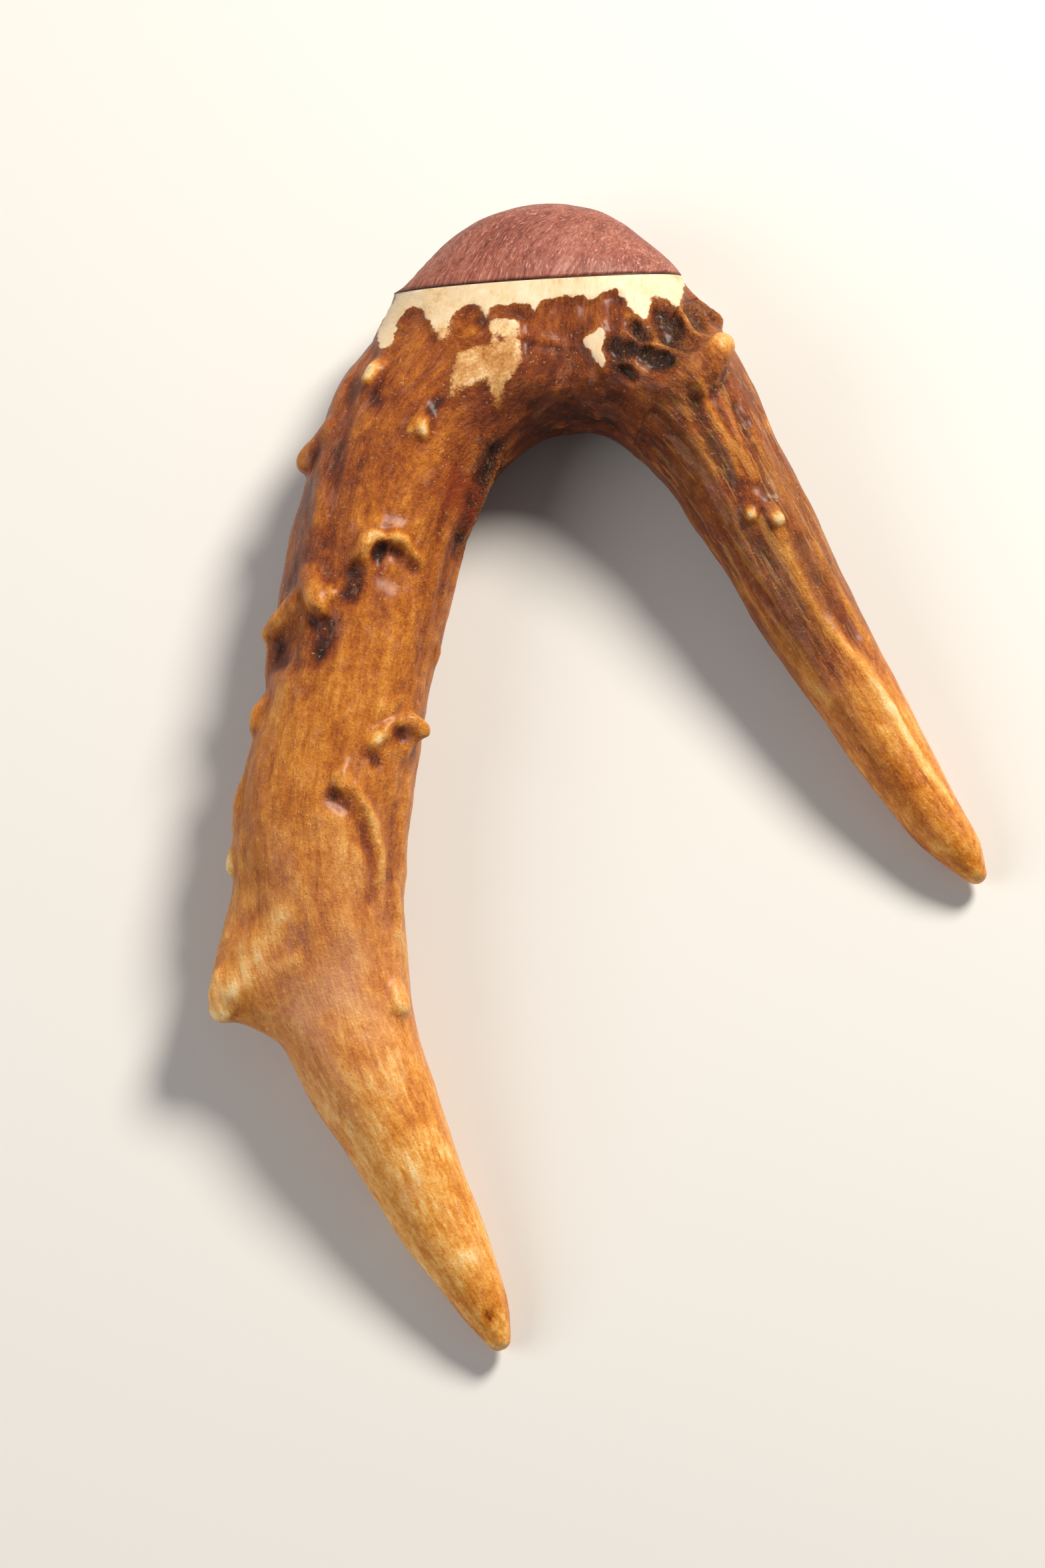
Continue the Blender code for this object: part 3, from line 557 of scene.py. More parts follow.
def limb_coordinates(points, sections):
    """Distance along a limb and across it, height over its middle, and how far out (1: its surface)."""
    rows = smooth_sections(sections)
    middles = middles_of(rows)
    across = np.column_stack((rows[:, 2:4] - rows[:, 0:2], np.zeros(len(rows))))
    if across[len(rows) // 2, 0] < 0.0:
        across = -across
    half_width = np.linalg.norm(across, axis=1) / 2.0
    across = across / (2.0 * half_width[:, None])
    heading = np.gradient(middles, axis=0)
    heading = heading / np.linalg.norm(heading, axis=1)[:, None]
    along = run_length(middles)
    tree = KDTree(len(middles))
    for i, middle in enumerate(middles):
        tree.insert(middle, i)
    tree.balance()
    s = along[[tree.find(p)[1] for p in points]]

    def read(table):
        return np.column_stack([np.interp(s, along, column) for column in table.T])

    for _ in range(3):
        s = s + np.einsum("ij,ij->i", points - read(middles), read(heading))
    offset = points - read(middles)
    t = np.einsum("ij,ij->i", offset, read(across))
    rise = offset[:, 2]
    out = np.hypot(t / np.interp(s, along, half_width), rise / np.interp(s, along, rows[:, 5]))
    return s, t, rise, out


# ---------------- the bark


def smooth_fork():
    """The bare fork: three limbs grown together, with the creases between them rounded off."""
    bm = bmesh.new()
    for sections in (BEAM, TINE, STUB):
        add_limb(bm, sections)
    skin = evaluated(to_mesh(bm, "limbs"), "REMESH", mode="VOXEL", voxel_size=BARE_VOXEL)
    points, edges = points_of(skin), edges_of(skin)
    beam, tine, stub = (limb_coordinates(points, sections)[3] for sections in (BEAM, TINE, STUB))
    crotch = step_between(0.32, 0.05, np.abs(beam - tine)) * (points[:, 1] > 20.0)
    stub_root = step_between(0.45, 0.1, np.abs(beam - stub)) * (points[:, 1] < 5.0)
    crease = np.maximum(crotch, stub_root)
    points = smooth(points, edges, 60, 0.6 * crease[:, None])
    set_points(skin, smooth(points, edges, 3, 0.5, 0.52))
    return skin


def unit_ball():
    """The points and faces of a ball of radius 1."""
    bm = bmesh.new()
    bmesh.ops.create_icosphere(bm, subdivisions=2, radius=1.0)
    points = np.array([tuple(v.co) for v in bm.verts])
    faces = np.array([[v.index for v in f.verts] for f in bm.faces])
    bm.free()
    return points, faces


def seat_on(tree, x, y, z=None):
    """The point of the bark over (x, y), or nearest to (x, y, z), and its normal."""
    if z is None:
        point, normal = tree.ray_cast(Vector((x, y, 60.0)), Vector((0.0, 0.0, -1.0)))[:2]
        if point is not None:
            return point, normal
        z = FACE_MIDDLE[2]
    return tree.find_nearest(Vector((x, y, z)))[:2]


def growth_balls(skin):
    """All balls of the growths as (middle, radius), and the pale tops: points, radii, how pale."""
    tree = surface_tree(skin)
    all_balls, tops = [], []
    for pale, growth in GROWTHS:
        balls = []
        for x, y, rise, radius, *z in growth:
            seat, normal = seat_on(tree, x, y, *z)
            balls.append((seat + normal * rise, radius))
        tops.append((*(seat + normal * (rise + radius)), radius, pale))
        all_balls.append(balls[0])
        for (a, ra), (b, rb) in zip(balls, balls[1:]):
            count = max(1, round((b - a).length / BALL_STEP))
            all_balls += [(a.lerp(b, k / count), ra + (rb - ra) * k / count) for k in range(1, count + 1)]
    return all_balls, np.array(tops)


def grow(skin):
    """Melts the bony growths into the skin. Returns the new skin and the growths' pale tops."""
    balls, tops = growth_balls(skin)
    ball, ball_faces = unit_ball()
    skin_points = points_of(skin)
    parts = [skin_points] + [ball * radius + np.array(centre) for centre, radius in balls]
    faces = [list(p.vertices) for p in skin.polygons]
    for i in range(len(balls)):
        faces += (ball_faces + len(skin_points) + i * len(ball)).tolist()
    joined = bpy.data.meshes.new("grown")
    joined.from_pydata(np.concatenate(parts), [], faces)
    grown = evaluated(joined, "REMESH", mode="VOXEL", voxel_size=SKIN_VOXEL)
    points, edges = points_of(grown), edges_of(grown)
    set_points(grown, smooth(points, edges, 7, 0.55, 0.5))
    return grown, tops


def sanded(points):
    """How far inside the sanded area a point lies, in mm. Negative is brown bark."""
    flat = points[:, 0:2]
    band, patch, hole, spot = (inside_distance(flat, area) for area in (BAND, PATCH, PATCH_HOLE, SPOT))
    drawn = np.maximum(band, np.maximum(np.minimum(patch, -hole), spot))
    local = (np.column_stack((points, np.ones(len(points)))) @ np.array(FACE.inverted()).T)[:, :3]
    around = np.column_stack((local[:, 0:2] / DRIP_WIDTH, np.zeros(len(points))))
    under = local[:, 2] + (DRIP_REACH + DRIP_SWING * noise_at(around, 3, 4.0))
    upper = step_between(*DRAWN_FROM, points[:, 2])
    return np.clip(upper * drawn + (1.0 - upper) * under, -12.0, 6.0)


def drawn_relief(points, facing):
    """The height and the change of tone of the relief on the upper side. Its darkening in the hollows is
    partly painted shadow.
    """
    height, tone = np.zeros(len(points)), np.zeros(len(points))
    for rise, width, change, line in RELIEF:
        steepness = 4 if rise < PIT else 2
        weight = np.exp(-((line_distance(points[:, 0:2], line) / width) ** steepness)) * facing
        height += rise * weight
        tone += change * weight
    return height, tone


def hollow_shade_of(points, normals, edges):
    """How hollow the bark is round each point, from three widths of smoothing. Negative is raised. The
    material uses it as painted shade in the hollows and painted light on the raised parts.
    """
    broad, dents = points, np.zeros(len(points))
    for rounds, gain in ((2, 2.6), (8, 1.4), (24, 0.7)):
        broad = smooth(broad, edges, rounds)
        depth = np.einsum("ij,ij->i", broad - points, normals)
        dents += gain * np.clip(depth, -0.35, 0.35)
    return np.clip(neighbour_mean(neighbour_mean(dents, edges), edges), -1.0, 1.0)


def pale_tops(points, tops):
    """How much paler the bark is on the growths."""
    share = np.zeros(len(points))
    for x, y, z, radius, pale in tops:
        away = np.linalg.norm(points - (x, y, z), axis=1)
        share += pale * step_between(1.9 * radius, 0.3 * radius, away)
    return share


def shape_bark(skin, tops):
    """Moves the skin's points into bark relief and stores what its material reads."""
    points, edges, normals = points_of(skin), edges_of(skin), normals_of(skin)
    *grain_beam, out_beam = limb_coordinates(points, BEAM)
    *grain_tine, out_tine = limb_coordinates(points, TINE)
    s_beam, s_tine = grain_beam[0], grain_tine[0]
    tine_share = step_between(-0.3, 0.3, out_beam - out_tine) * step_between(-14.0, 4.0, points[:, 0])
    grain_beam = np.column_stack(grain_beam)
    grain_tine = np.column_stack(grain_tine) + TINE_GRAIN_SHIFT
    grain = grain_beam + (grain_tine - grain_beam) * tine_share[:, None]
    worn_beam, worn_tine = step_between(*BEAM_WORN, s_beam), step_between(*TINE_WORN, s_tine)
    worn = worn_beam * (1.0 - tine_share) + worn_tine * tine_share
    cream = sanded(points)
    rough = (1.0 - 0.85 * worn) * step_between(0.2, -1.0, cream)
    crust = np.max([disc_share(points, *area, 0.45) for area in CRUST], axis=0)

    height, tone = drawn_relief(points, step_between(0.0, 0.45, normals[:, 2]))
    flutes = ridges_at(grain / (26.0, 3.4, 3.4), 3, 1.0) - 0.5
    swell = noise_at(points / 8.0, 2, 3.0)
    knots = noise_at(grain / (3.4, 1.9, 1.9), 2, 5.0)
    crumbs = noise_at(points / 1.7, 2, 6.0)
    fluted = 0.35 + 0.65 * np.maximum(step_between(0.85, 0.4, normals[:, 2]), tine_share)
    height += rough * (FLUTE * fluted * flutes + KNOT * knots + CRUMB * crust * crumbs)
    height += SWELL * swell * (1.0 - 0.5 * worn)
    height -= BAND_STEP * (step_between(-11.0, -1.0, cream) * step_between(0.1, -0.9, cream))
    height = np.where(cream > 0.0, height * 0.25, height)
    points = smooth(points + normals * height[:, None], edges, 1, 0.35)
    set_points(skin, points)

    # Painted pinkish sheen at the fork and the crags.
    pinkish_sheen = bell_share(points, *SHEEN_FORK) + 0.2 * bell_share(points, *SHEEN_CRAGS)
    in_patch = step_between(-4.0, -6.0, points[:, 0]) * step_between(-21.0, -19.5, points[:, 0])
    for name, values in (
        ("grain", grain),
        ("cream", cream),
        ("worn", worn),
        ("bead", pale_tops(points, tops)),
        # The hollowness stored next is painted shade in the hollows and painted light on raised bark.
        ("hollow_shade", hollow_shade_of(points, normals_of(skin), edges)),
        ("tone", tone + limb_tone(points, s_beam, s_tine, tine_share)),
        ("pinkish_sheen", np.minimum(pinkish_sheen, 1.0)),
        ("crust", crust * rough),
        ("ribbed", tine_share * step_between(12.0, 26.0, s_tine) * (1.0 - 0.8 * worn)),
        ("stain", disc_share(points, *RED_STAIN, 0.3)),
        ("patch", in_patch * step_between(53.4, 51.4, points[:, 1])),
    ):
        store(skin, name, values)
    return skin


def limb_tone(points, s_beam, s_tine, tine_share):
    """How light the bark is from end to end of each limb, with painted shade in the crook and on the lower
    sides, and darker on the flanks.
    """
    beam, tine = np.interp(s_beam, *zip(*BEAM_TONE)), np.interp(s_tine, *zip(*TINE_TONE))
    tone = beam * (1.0 - tine_share) + tine * tine_share
    # Painted shade: darker on the lower sides of the limbs.
    under = step_between(10.0, 2.0, points[:, 2]) * step_between(-30.0, 30.0, points[:, 1])
    flank = step_between(-22.0, -34.0, points[:, 0]) * step_between(4.0, 24.0, points[:, 1])
    # Painted shade in the crook between the limbs.
    crook_shade, crags = bell_share(points, *CROOK_SHADE), bell_share(points, *CRAGS)
    return tone - 0.16 * crook_shade - 0.04 * crags - 0.06 * under - 0.11 * flank


def hollow_cutter():
    """The hollow of the CAD fork as a closed body, run on a little past the sawn face."""
    saw_margin, core_margin, past_saw = 0.02 * MM, 0.9 * MM, 3.0 * MM
    core_tree = surface_tree(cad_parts["spongy_core"].data)
    bm = bmesh.new()
    bm.from_mesh(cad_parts["antler_fork"].data)
    bmesh.ops.remove_doubles(bm, verts=bm.verts, dist=1e-6)
    face_origin = TO_ROW @ Vector(FACE_MIDDLE)
    outward = FACE.to_3x3().col[2]
    for face in list(bm.faces):
        middle = face.calc_center_median()
        on_saw = abs((middle - face_origin).dot(outward)) < saw_margin
        if on_saw or core_tree.find_nearest(middle, core_margin)[0] is None:
            bm.faces.remove(face)
    bmesh.ops.delete(bm, geom=[v for v in bm.verts if not v.link_faces], context="VERTS")
    rim = [e for e in bm.edges if e.is_boundary]
    moved = bmesh.ops.extrude_edge_only(bm, edges=rim)["geom"]
    moved = [g for g in moved if isinstance(g, bmesh.types.BMVert)]
    bmesh.ops.translate(bm, verts=moved, vec=outward * past_saw)
    bmesh.ops.holes_fill(bm, edges=[e for e in bm.edges if e.is_boundary], sides=0)
    bmesh.ops.transform(bm, matrix=TO_ROW.inverted(), verts=bm.verts)
    return to_mesh(bm, "hollow")


def saw_off(mesh, height):
    """Cuts the mesh at a height over the sawn face, closes it flat and returns the cut's rim points."""
    bm = bmesh.new()
    bm.from_mesh(mesh)
    cut = bmesh.ops.bisect_plane(
        bm,
        geom=bm.verts[:] + bm.edges[:] + bm.faces[:],
        plane_co=FACE @ Vector((0.0, 0.0, height)),
        plane_no=FACE.to_3x3().col[2],
        clear_outer=True,
    )
    edge = [g for g in cut["geom_cut"] if isinstance(g, bmesh.types.BMEdge)]
    bmesh.ops.holes_fill(bm, edges=edge, sides=0)
    rim = np.array([tuple(FACE.inverted() @ v.co) for v in {v for e in edge for v in e.verts}])
    bm.to_mesh(mesh)
    bm.free()
    return rim


def rim_outline(rim):
    """The sawn face's outline as radii at even angles, from its rim points in the face's own plane."""
    order = np.argsort(np.arctan2(rim[:, 1], rim[:, 0]))
    angles = np.arctan2(rim[order, 1], rim[order, 0])
    radii = np.hypot(rim[order, 0], rim[order, 1])
    even = 2.0 * np.pi * np.arange(RIM_POINTS) / RIM_POINTS - np.pi
    return even, np.interp(even, angles, radii, period=2.0 * np.pi)


def make_bark():
    """The finished bark, sawn and hollowed, and the outline of its sawn face."""
    bark = shape_bark(*grow(smooth_fork()))
    rim = saw_off(bark, GLUE_LOW - HAIR)
    cutter = link("hollow", hollow_cutter())
    bark = evaluated(bark, "BOOLEAN", operation="DIFFERENCE", solver="EXACT", object=cutter)
    bpy.data.objects.remove(cutter, do_unlink=True)
    return bark, rim_outline(rim)


# ---------------- the seam and the cap


def make_glue(outline):
    """The glue film, a little inside the outline of both faces."""
    angles, radii = outline
    ring = np.column_stack((np.cos(angles), np.sin(angles))) * (radii - GLUE_INSET)[:, None]
    bm = bmesh.new()
    low, high = ([bm.verts.new((x, y, z)) for x, y in ring] for z in (GLUE_LOW, GLUE_HIGH))
    band_of_faces(bm, low, high)
    bm.faces.new(low)
    bm.faces.new(high)
    return to_mesh(bm, "seam_glue")


def dome_spread(rise):
    """The dome's half width at a rise, as a share of its base: a smooth curve through the profile."""
    rises, spreads = np.array(CAP_PROFILE).T
    if rise >= rises[-1]:
        return spreads[-1] * math.sqrt(max(0.0, (1.0 - rise) / (1.0 - rises[-1])))
    slope = np.gradient(spreads, rises)
    i = int(np.searchsorted(rises, rise, side="right")) - 1
    length = rises[i + 1] - rises[i]
    t = (rise - rises[i]) / length
    return hermite(spreads[i], spreads[i + 1], slope[i], slope[i + 1], length, t)


def cap_ring(rise, outline):
    """The dome's outline at a rise from 0 to 1: the sawn face's below, an oval above, filed on the left."""
    angles, radii = outline
    base = GLUE_HIGH + HAIR
    oval = FACE_HALF_WIDTH * FACE_HALF_HEIGHT / np.hypot(
        FACE_HALF_HEIGHT * np.cos(angles), FACE_HALF_WIDTH * np.sin(angles)
    )
    blend = step_between(0.0, 0.5, rise)
    radius = (radii * (1.0 - blend) + oval * blend) * dome_spread(rise)
    ring = np.column_stack((
        CAP_DRIFT * rise + radius * np.cos(angles),
        radius * np.sin(angles),
        np.full(len(angles), base + (CAP_TOP - base) * rise),
    ))
    facet = np.array(FACET_HEADING) / np.linalg.norm(FACET_HEADING)
    excess = np.maximum(ring @ facet - FACET_DISTANCE, 0.0)
    return ring - facet * (FACET_SHARE * step_between(0.0, 0.12, rise) * excess)[:, None]


def make_cap(outline):
    """The hardwood dome on the sawn face."""
    rises = np.sin(np.linspace(0.0, np.pi / 2.0, CAP_RINGS + 1)[:-1])
    bm = bmesh.new()
    tube(bm, [cap_ring(rise, outline) for rise in rises], (CAP_DRIFT, 0.0, CAP_TOP))
    mesh = to_mesh(bm, "hardwood_cap")
    points, normals = points_of(mesh), normals_of(mesh)
    lift = 0.10 * noise_at(points / 6.0, 2, 8.0) - 0.06
    lift = lift * step_between(GLUE_HIGH + 0.3, GLUE_HIGH + 2.0, points[:, 2])
    set_points(mesh, points + normals * lift[:, None])
    return mesh


# ---------------- materials


def srgb(code):
    """A hex colour as linear red, green, blue, alpha."""
    parts = [int(code[i : i + 2], 16) / 255.0 for i in (1, 3, 5)]
    return (*[c / 12.92 if c <= 0.04045 else ((c + 0.055) / 1.055) ** 2.4 for c in parts], 1.0)


class Surface:
    """A short way to write one material's nodes."""

    def __init__(self, name, **constants):
        self.material = bpy.data.materials.new(name)
        self.material.use_nodes = True
        self.tree = self.material.node_tree
        self.shader = self.tree.nodes["Principled BSDF"]
        for key, value in constants.items():
            self.shader.inputs[key.replace("_", " ")].default_value = value

    def put(self, socket, value):
        if isinstance(value, bpy.types.NodeSocket):
            self.tree.links.new(value, socket)
        else:
            socket.default_value = value

    def node(self, kind, inputs=(), **settings):
        made = self.tree.nodes.new("ShaderNode" + kind)
        for key, value in settings.items():
            setattr(made, key, value)
        for key, value in dict(inputs).items():
            self.put(made.inputs[key], value)
        return made

    def value(self, name):
        return self.node("Attribute", attribute_name=name).outputs["Fac"]

    def vector(self, name):
        return self.node("Attribute", attribute_name=name).outputs["Vector"]

    def place(self):
        """Object coordinates in millimetres."""
        metres = self.node("TexCoord").outputs["Object"]
        return self.node("VectorMath", {0: metres, "Scale": 1.0 / MM}, operation="SCALE").outputs[0]

    def stretch(self, vector, factors, turn=0.0):
        """The vector turned about Z by degrees after its parts are scaled by the factors."""
        inputs = {"Vector": vector, "Scale": factors, "Rotation": (0.0, 0.0, math.radians(turn))}
        return self.node("Mapping", inputs).outputs[0]

    def math(self, operation, a, b=0.0):
        return self.node("Math", {0: a, 1: b}, operation=operation).outputs[0]

    def times(self, a, b):
        return self.math("MULTIPLY", a, b)

    def rest(self, value):
        """1 minus the value."""
        return self.math("SUBTRACT", 1.0, value)

    def add(self, *terms):
        """A sum of (value, factor, middle) terms: factor times what the value is over its middle."""
        total = 0.0
        for value, factor, middle in terms:
            centred = self.math("SUBTRACT", value, middle)
            inputs = {0: centred, 1: factor, 2: total}
            total = self.node("Math", inputs, operation="MULTIPLY_ADD").outputs[0]
        return total

    def noise(self, vector, scale=1.0, detail=3.0, roughness=0.5, distortion=0.0):
        inputs = {"Vector": vector, "Scale": scale, "Detail": detail}
        inputs.update({"Roughness": roughness, "Distortion": distortion})
        return self.node("TexNoise", inputs).outputs["Fac"]

    def fibres(self, vector, factors, detail, roughness=0.5, distortion=0.0):
        """Noise drawn out along the vector's first axis."""
        return self.noise(self.stretch(vector, factors), 1.0, detail, roughness, distortion)

    def between(self, value, low, high, to_low=0.0, to_high=1.0):
        inputs = {"Value": value, "From Min": low, "From Max": high, "To Min": to_low, "To Max": to_high}
        return self.node("MapRange", inputs, interpolation_type="SMOOTHSTEP").outputs["Result"]

    def ramp(self, value, stops):
        made = self.node("ValToRGB", {"Fac": value})
        elements = made.color_ramp.elements
        while len(elements) < len(stops):
            elements.new(0.5)
        for element, (position, code) in zip(elements, stops):
            element.position = position
            element.color = srgb(code)
        return made.outputs["Color"]

    def mix(self, factor, a, b):
        made = self.node("Mix", data_type="RGBA")
        for index, value in ((0, factor), (6, a), (7, b)):
            self.put(made.inputs[index], srgb(value) if isinstance(value, str) else value)
        return made.outputs[2]

    def tint(self, factor, colour, code, strength=0.5):
        """Mixes a colour part of the way towards a hex colour, where the factor says."""
        return self.mix(factor, colour, self.mix(strength, colour, code))

    def finish(self, colour, roughness, height, depth):
        """depth is how deep the bump is, in mm, for a height of 1."""
        self.put(self.shader.inputs["Base Color"], colour)
        self.put(self.shader.inputs["Roughness"], roughness)
        bump = self.node("Bump", {"Height": height, "Distance": depth * MM, "Strength": 1.0})
        self.put(self.shader.inputs["Normal"], bump.outputs["Normal"])
        return self.material


def bark_noises(s):
    """The noises that colour, share and bump of the bark have in common."""
    grain, place = s.vector("grain"), s.place()
    return SimpleNamespace(
        grain=grain,
        place=place,
        streaks=s.fibres(grain, (0.10, 0.75, 0.75), 5.0, 0.6, 0.5),
        threads=s.fibres(grain, (0.9, 3.2, 3.2), 4.0, 0.62),
        clouds=s.noise(place, 0.14, 3.0, 0.55),
        mottle=s.fibres(grain, (0.6, 0.9, 0.9), 7.0, 0.72),
        speckle=s.noise(place, 3.0, 4.0, 0.7),
    )


def waxed_brown(s, n, worn):
    """The brown of the waxed bark, from its tone, a painted pinkish sheen, and its red and rosy casts."""
    worn_streaks = s.fibres(n.grain, (0.12, 1.0, 1.0), 6.0, 0.65, 0.8)
    # The hollowness term below is painted shade: hollows darker, raised bark lighter.
    tone = s.add(
        (s.value("tone"), 1.0, 0.0), (n.streaks, 0.40, 0.5), (n.threads, 0.26, 0.5), (n.clouds, 0.42, 0.5),
        (n.mottle, 0.60, 0.5), (n.speckle, 0.30, 0.5), (s.value("hollow_shade"), -0.34, 0.0),
        (s.value("bead"), 1.0, 0.0), (s.times(worn, s.math("SUBTRACT", worn_streaks, 0.5)), 0.6, 0.0),
    )
    brown = s.ramp(tone, [
        (0.0, "#1f0c03"), (0.14, "#3f1804"), (0.28, "#6c2c05"), (0.40, "#8d4109"), (0.51, "#aa5b10"),
        (0.62, "#c5731d"), (0.74, "#dc9034"), (0.86, "#edae58"), (1.0, "#f5d092"),
    ])
    # Painted sheen: a pinkish cast over the brown.
    brown = s.tint(s.times(s.value("pinkish_sheen"), s.between(n.clouds, 0.35, 0.65, 0.3, 0.8)), brown, "#b98a78")
    warm = s.between(s.noise(n.place, 0.30, 4.0, 0.6), 0.52, 0.68, 0.0, 0.45)
    brown = s.tint(s.times(warm, s.rest(worn)), brown, "#7c2706")
    rosy = s.between(s.fibres(n.grain, (0.25, 0.6, 0.6), 5.0, 0.65), 0.54, 0.66, 0.0, 0.45)
    return s.tint(rosy, brown, "#c98663", 0.55)


def marked_brown(s, n, brown, crust):
    """The marks on the brown: ribs, red stain, pores, crust and pale flecks, partly dust and partly painted
    glints on the wax. Returns the pores as well.
    """
    ribbed = s.times(s.value("ribbed"), s.between(s.value("bead"), 0.0, 0.2, 1.0, 0.0))
    ribs = s.fibres(n.grain, (0.07, 1.3, 1.3), 4.0, 0.6, 0.6)
    brown = s.tint(s.times(ribbed, s.between(n.clouds, 0.40, 0.56, 0.0, 0.6)), brown, "#77501f")
    brown = s.tint(s.times(ribbed, s.between(ribs, 0.53, 0.61, 0.0, 0.65)), brown, "#dd9d4a", 0.6)
    stained = s.times(s.value("stain"), s.between(n.mottle, 0.36, 0.56))
    brown = s.mix(s.times(stained, 0.75), brown, "#8e3006")

    cells = s.node("TexVoronoi", {"Vector": s.stretch(n.grain, (1.4, 2.1, 2.1)), "Scale": 1.0})
    peppered = s.math("MAXIMUM", s.between(n.mottle, 0.46, 0.60, 0.0, 0.55), s.times(ribbed, 0.45))
    pored = s.times(s.between(cells.outputs["Distance"], 0.22, 0.08), peppered)
    brown = s.mix(pored, brown, "#431a05")
    brown = s.mix(s.times(crust, s.between(n.speckle, 0.54, 0.38, 0.0, 0.7)), brown, "#33190a")
    upright = s.stretch(n.place, (4.0, 0.9, 1.5), 28.0)
    fibres = s.noise(upright, detail=3.0, roughness=0.6, distortion=1.2)
    brown = s.mix(s.times(crust, s.between(fibres, 0.54, 0.66, 0.0, 0.5)), brown, "#9c7848")
    # Pale flecks: partly dust, partly painted glints on the wax.
    flecks_and_glints = s.between(s.noise(n.place, 2.6, 2.0, 0.5), 0.66, 0.72, 0.0, 0.5)
    return s.tint(flecks_and_glints, brown, "#f6ddb4"), pored


def bare_bone(s, n, patch):
    """The pale bone of the sanded area, browner in the thin patch."""
    tone = s.add((n.clouds, 0.9, 0.5), (n.streaks, 0.35, 0.5), (n.threads, 0.25, 0.5), (n.mottle, 0.7, 0.5))
    bone = s.ramp(s.math("ADD", tone, 0.5), [
        (0.25, "#bf935f"), (0.42, "#d8ba8e"), (0.58, "#dfc7a3"), (0.8, "#e4d3b6"),
    ])
    thin_bone = s.ramp(s.add((tone, 1.6, 0.0), (n.speckle, 0.9, -0.1)), [
        (0.15, "#94581e"), (0.38, "#b0773a"), (0.56, "#c28f54"), (0.85, "#dfbe8c"),
    ])
    return s.mix(patch, bone, thin_bone)


def bark_material():
    """Waxed bark, sanded to bone in places. The edge of the sanding is crisp, but soft in the patch."""
    s = Surface("waxed_antler", Coat_Weight=0.16, Coat_Roughness=0.27, Specular_IOR_Level=0.24)
    n = bark_noises(s)
    worn, crust, patch = s.value("worn"), s.value("crust"), s.value("patch")
    brown, pored = marked_brown(s, n, waxed_brown(s, n, worn), crust)

    wobble = s.add((s.noise(n.place, 0.8, 3.0, 0.5), 1.4, 0.5), (s.noise(n.place, 3.5, 2.0), 0.2, 0.5))
    edge = s.math("ADD", s.value("cream"), wobble)
    crisp = s.between(edge, -0.10, 0.14)
    soft = s.between(s.add((edge, 1.0, 0.0), (n.mottle, 1.5, 0.5), (n.speckle, 0.9, 0.5)), -0.35, 0.35)
    bare = s.add((crisp, 1.0, 0.0), (s.times(patch, s.math("SUBTRACT", soft, crisp)), 1.0, 0.0))
    rim = s.times(s.between(edge, -1.0, -0.05), s.rest(bare))
    brown = s.mix(s.times(rim, 0.3), brown, "#5f2b0c")
    colour = s.mix(bare, brown, bare_bone(s, n, patch))

    roughness = s.add((n.mottle, 0.4, 0.5), (worn, -0.12, 0.0), (bare, 0.14, 0.0), (crust, 0.35, 0.0))
    relief = s.add(
        (n.streaks, 0.5, 0.5), (n.threads, 0.5, 0.5), (n.mottle, 1.0, 0.5), (n.speckle, 0.5, 0.5),
        (pored, -0.35, 0.0), (s.times(crust, n.speckle), 1.1, 0.0),
    )
    relief_share = s.times(s.rest(s.times(bare, 0.85)), s.between(worn, 0.0, 1.0, 1.0, 0.35))
    return s.finish(colour, s.math("ADD", roughness, 0.42), s.times(relief, relief_share), 0.40)


def hardwood_material():
    """Red-brown wood with fine, slightly fanned fibres across the dome."""
    s = Surface("dark_red_hardwood", Coat_Weight=0.1, Coat_Roughness=0.35, Specular_IOR_Level=0.35)
    place = s.place()
    bend = s.node("CombineXYZ", {"Y": s.times(s.noise(place, 0.05, 2.0), 9.0)}).outputs[0]
    turned = s.stretch(place, (1.0, 1.0, 1.0), -66.0)
    fanned = s.node("VectorMath", {0: turned, 1: bend}, operation="ADD").outputs[0]
    fibres = s.fibres(fanned, (0.07, 3.0, 3.0), 5.0, 0.7, 0.3)
    bands = s.fibres(fanned, (0.04, 0.6, 0.6), 4.0, 0.6)
    dashes = s.fibres(fanned, (0.16, 4.6, 4.6), 2.0)
    tone = s.add((fibres, 1.0, 0.5), (bands, 0.8, 0.5), (s.noise(place, 1.6, 5.0, 0.7), 0.5, 0.5))
    colour = s.ramp(s.math("ADD", tone, 0.5), [
        (0.2, "#5b241a"), (0.42, "#83402f"), (0.58, "#975440"), (0.8, "#b27664"),
    ])
    colour = s.mix(s.between(dashes, 0.60, 0.68, 0.0, 0.6), colour, "#c69a88")
    pores = s.between(dashes, 0.36, 0.30, 0.0, 0.5)
    colour = s.mix(pores, colour, "#45170f")
    relief = s.add((fibres, 0.8, 0.5), (pores, -0.4, 0.0))
    return s.finish(colour, s.between(fibres, 0.3, 0.7, 0.60, 0.45), relief, 0.16)


def core_material():
    s = Surface("spongy_bone")
    cells = s.node("TexVoronoi", {"Vector": s.place(), "Scale": 1.1}, feature="DISTANCE_TO_EDGE")
    open_cell = s.between(cells.outputs["Distance"], 0.05, 0.25)
    colour = s.mix(open_cell, "#d9c6a0", "#7d6142")
    return s.finish(colour, s.between(open_cell, 0.0, 1.0, 0.7, 0.95), s.rest(open_cell), 0.4)


def dowel_material():
    s = Surface("dowel_wood")
    fibres = s.fibres(s.place(), (4.0, 0.4, 4.0), 4.0, 0.6)
    colour = s.ramp(fibres, [(0.3, "#a97f50"), (0.5, "#c9a274"), (0.7, "#dcbd92")])
    return s.finish(colour, s.between(fibres, 0.3, 0.7, 0.7, 0.55), fibres, 0.12)


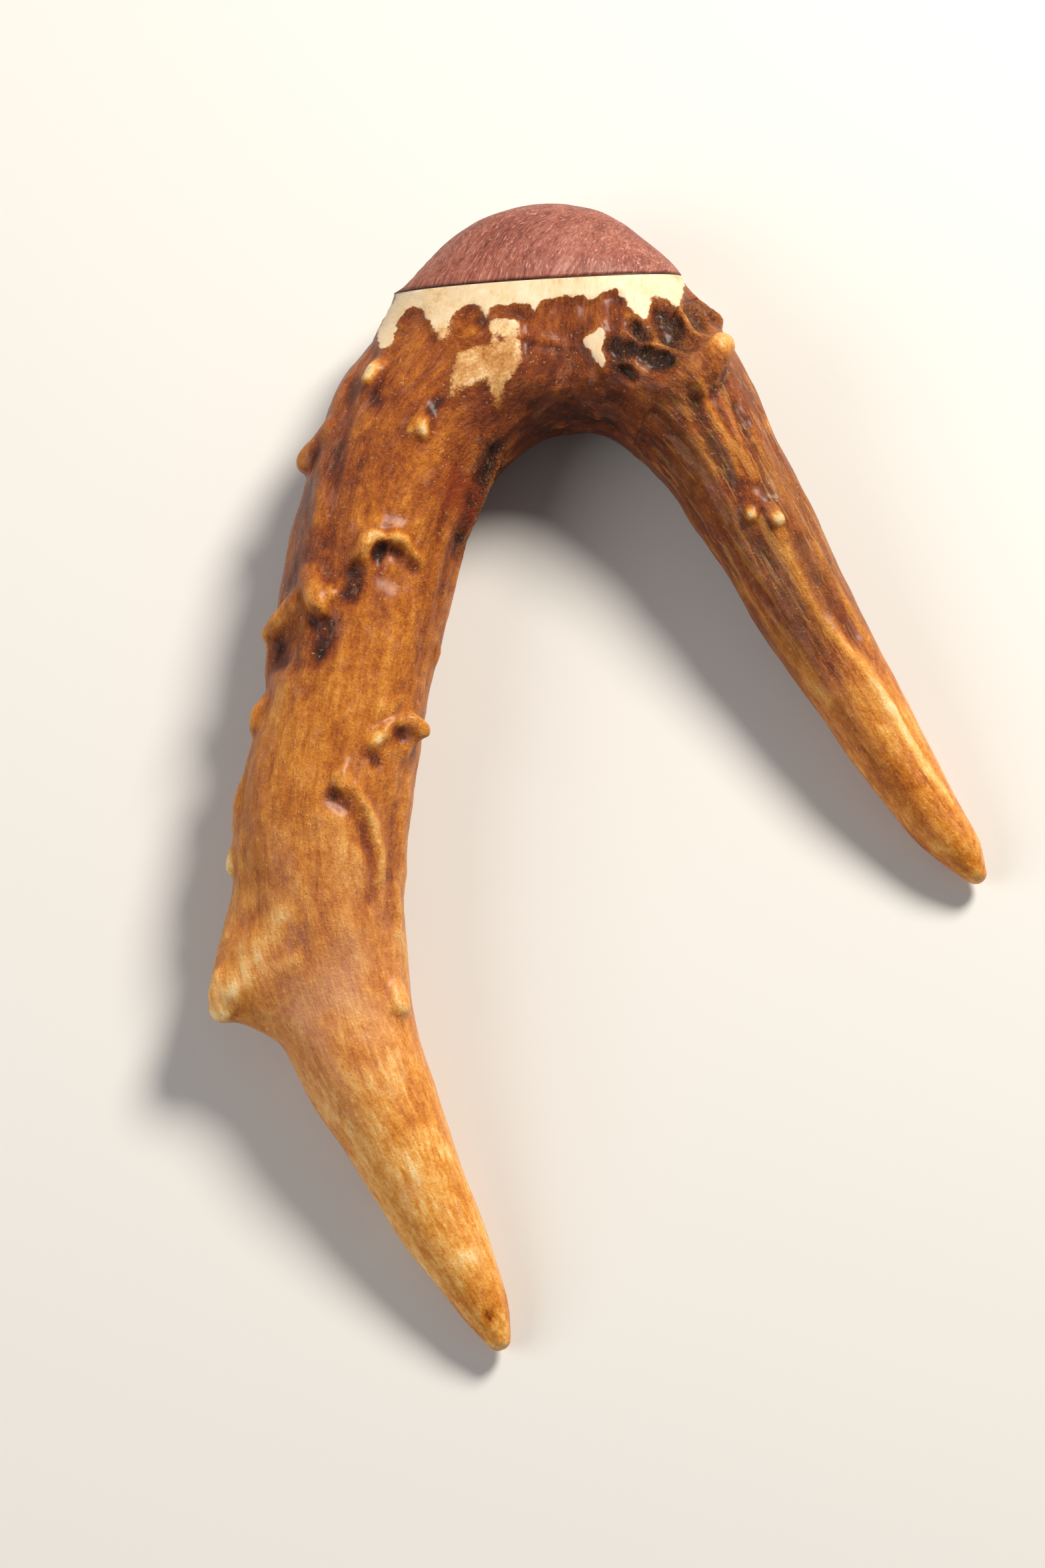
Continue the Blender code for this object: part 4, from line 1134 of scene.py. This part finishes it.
def glue_material():
    s = Surface("dark_glue")
    lumps = s.noise(s.place(), 1.5, 3.0)
    colour = s.ramp(lumps, [(0.3, "#2c1b13"), (0.7, "#553a2a")])
    return s.finish(colour, s.between(lumps, 0.3, 0.7, 0.35, 0.6), lumps, 0.05)


def floor_material():
    s = Surface("pale_floor", Roughness=0.9)
    s.shader.inputs["Base Color"].default_value = srgb("#d9d6d0")
    return s.material


# ---------------- pieces and stage


def show(name, mesh, material, node):
    """A finished piece in the object's own frame, standing for a CAD node."""
    mesh.transform(TO_ROW)
    mesh.shade_smooth()
    mesh.materials.clear()
    mesh.materials.append(material)
    piece = link(name, mesh)
    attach(piece, "root")
    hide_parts(node)


def paint(node, material):
    """Gives a CAD node a finished material."""
    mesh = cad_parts[node].data
    mesh.materials.clear()
    mesh.materials.append(material)


def add_light(name, position, size, power, colour):
    light = bpy.data.lights.new(name, "AREA")
    light.shape = "DISK"
    light.size = size
    light.energy = power
    light.color = colour
    lamp = link(name, light)
    lamp.location = position
    lamp.rotation_euler = (Vector(LIGHT_TARGET) - Vector(position)).to_track_quat("-Z", "Y").to_euler()


def make_stage():
    bm = bmesh.new()
    bmesh.ops.create_grid(bm, x_segments=2, y_segments=2, size=FLOOR_HALF_SIZE)
    floor = link("floor", to_mesh(bm, "floor"))
    floor.data.materials.append(floor_material())

    world = bpy.data.worlds.new("studio")
    world.use_nodes = True
    background = world.node_tree.nodes["Background"]
    background.inputs["Color"].default_value = (0.92, 0.95, 1.0, 1.0)
    background.inputs["Strength"].default_value = 0.16
    bpy.context.scene.world = world
    for light in LIGHTS:
        add_light(*light)
    bpy.context.scene.view_settings.view_transform = "Standard"


def make_camera():
    """The photograph's view: nearly straight down, through a long lens."""
    tilt = math.radians(CAMERA_TILT)
    data = bpy.data.cameras.new("camera")
    data.sensor_fit = "VERTICAL"
    data.sensor_height = 36.0
    data.lens = 100.0
    camera = link("camera", data)
    away = np.array((0.0, -math.sin(tilt), math.cos(tilt))) * CAMERA_DISTANCE
    camera.location = (np.array(CAMERA_TARGET) - FOOTPRINT + away) * MM
    camera.rotation_euler = (tilt, 0.0, 0.0)
    bpy.context.scene.camera = camera


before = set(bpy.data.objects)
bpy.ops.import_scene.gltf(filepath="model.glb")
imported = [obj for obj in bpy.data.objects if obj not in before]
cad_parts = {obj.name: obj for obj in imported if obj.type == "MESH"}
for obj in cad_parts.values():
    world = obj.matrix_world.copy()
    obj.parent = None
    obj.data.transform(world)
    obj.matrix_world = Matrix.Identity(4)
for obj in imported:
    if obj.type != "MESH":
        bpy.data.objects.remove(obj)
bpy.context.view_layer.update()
bark_mesh, seam = make_bark()
show("antler_bark", bark_mesh, bark_material(), "antler_fork")
for piece_name, make, look, cad_node, slot_name in (
    ("seam_glue", make_glue, glue_material, "glue_line", "dark_glue"),
    ("hardwood_cap", make_cap, hardwood_material, "wood_cap", "dark_hardwood"),
):
    seam_mesh = make(seam)
    seam_mesh.transform(FACE)
    show(piece_name, seam_mesh, look(), cad_node)
paint("spongy_core", core_material())
paint("cap_dowel", dowel_material())
make_stage()
make_camera()
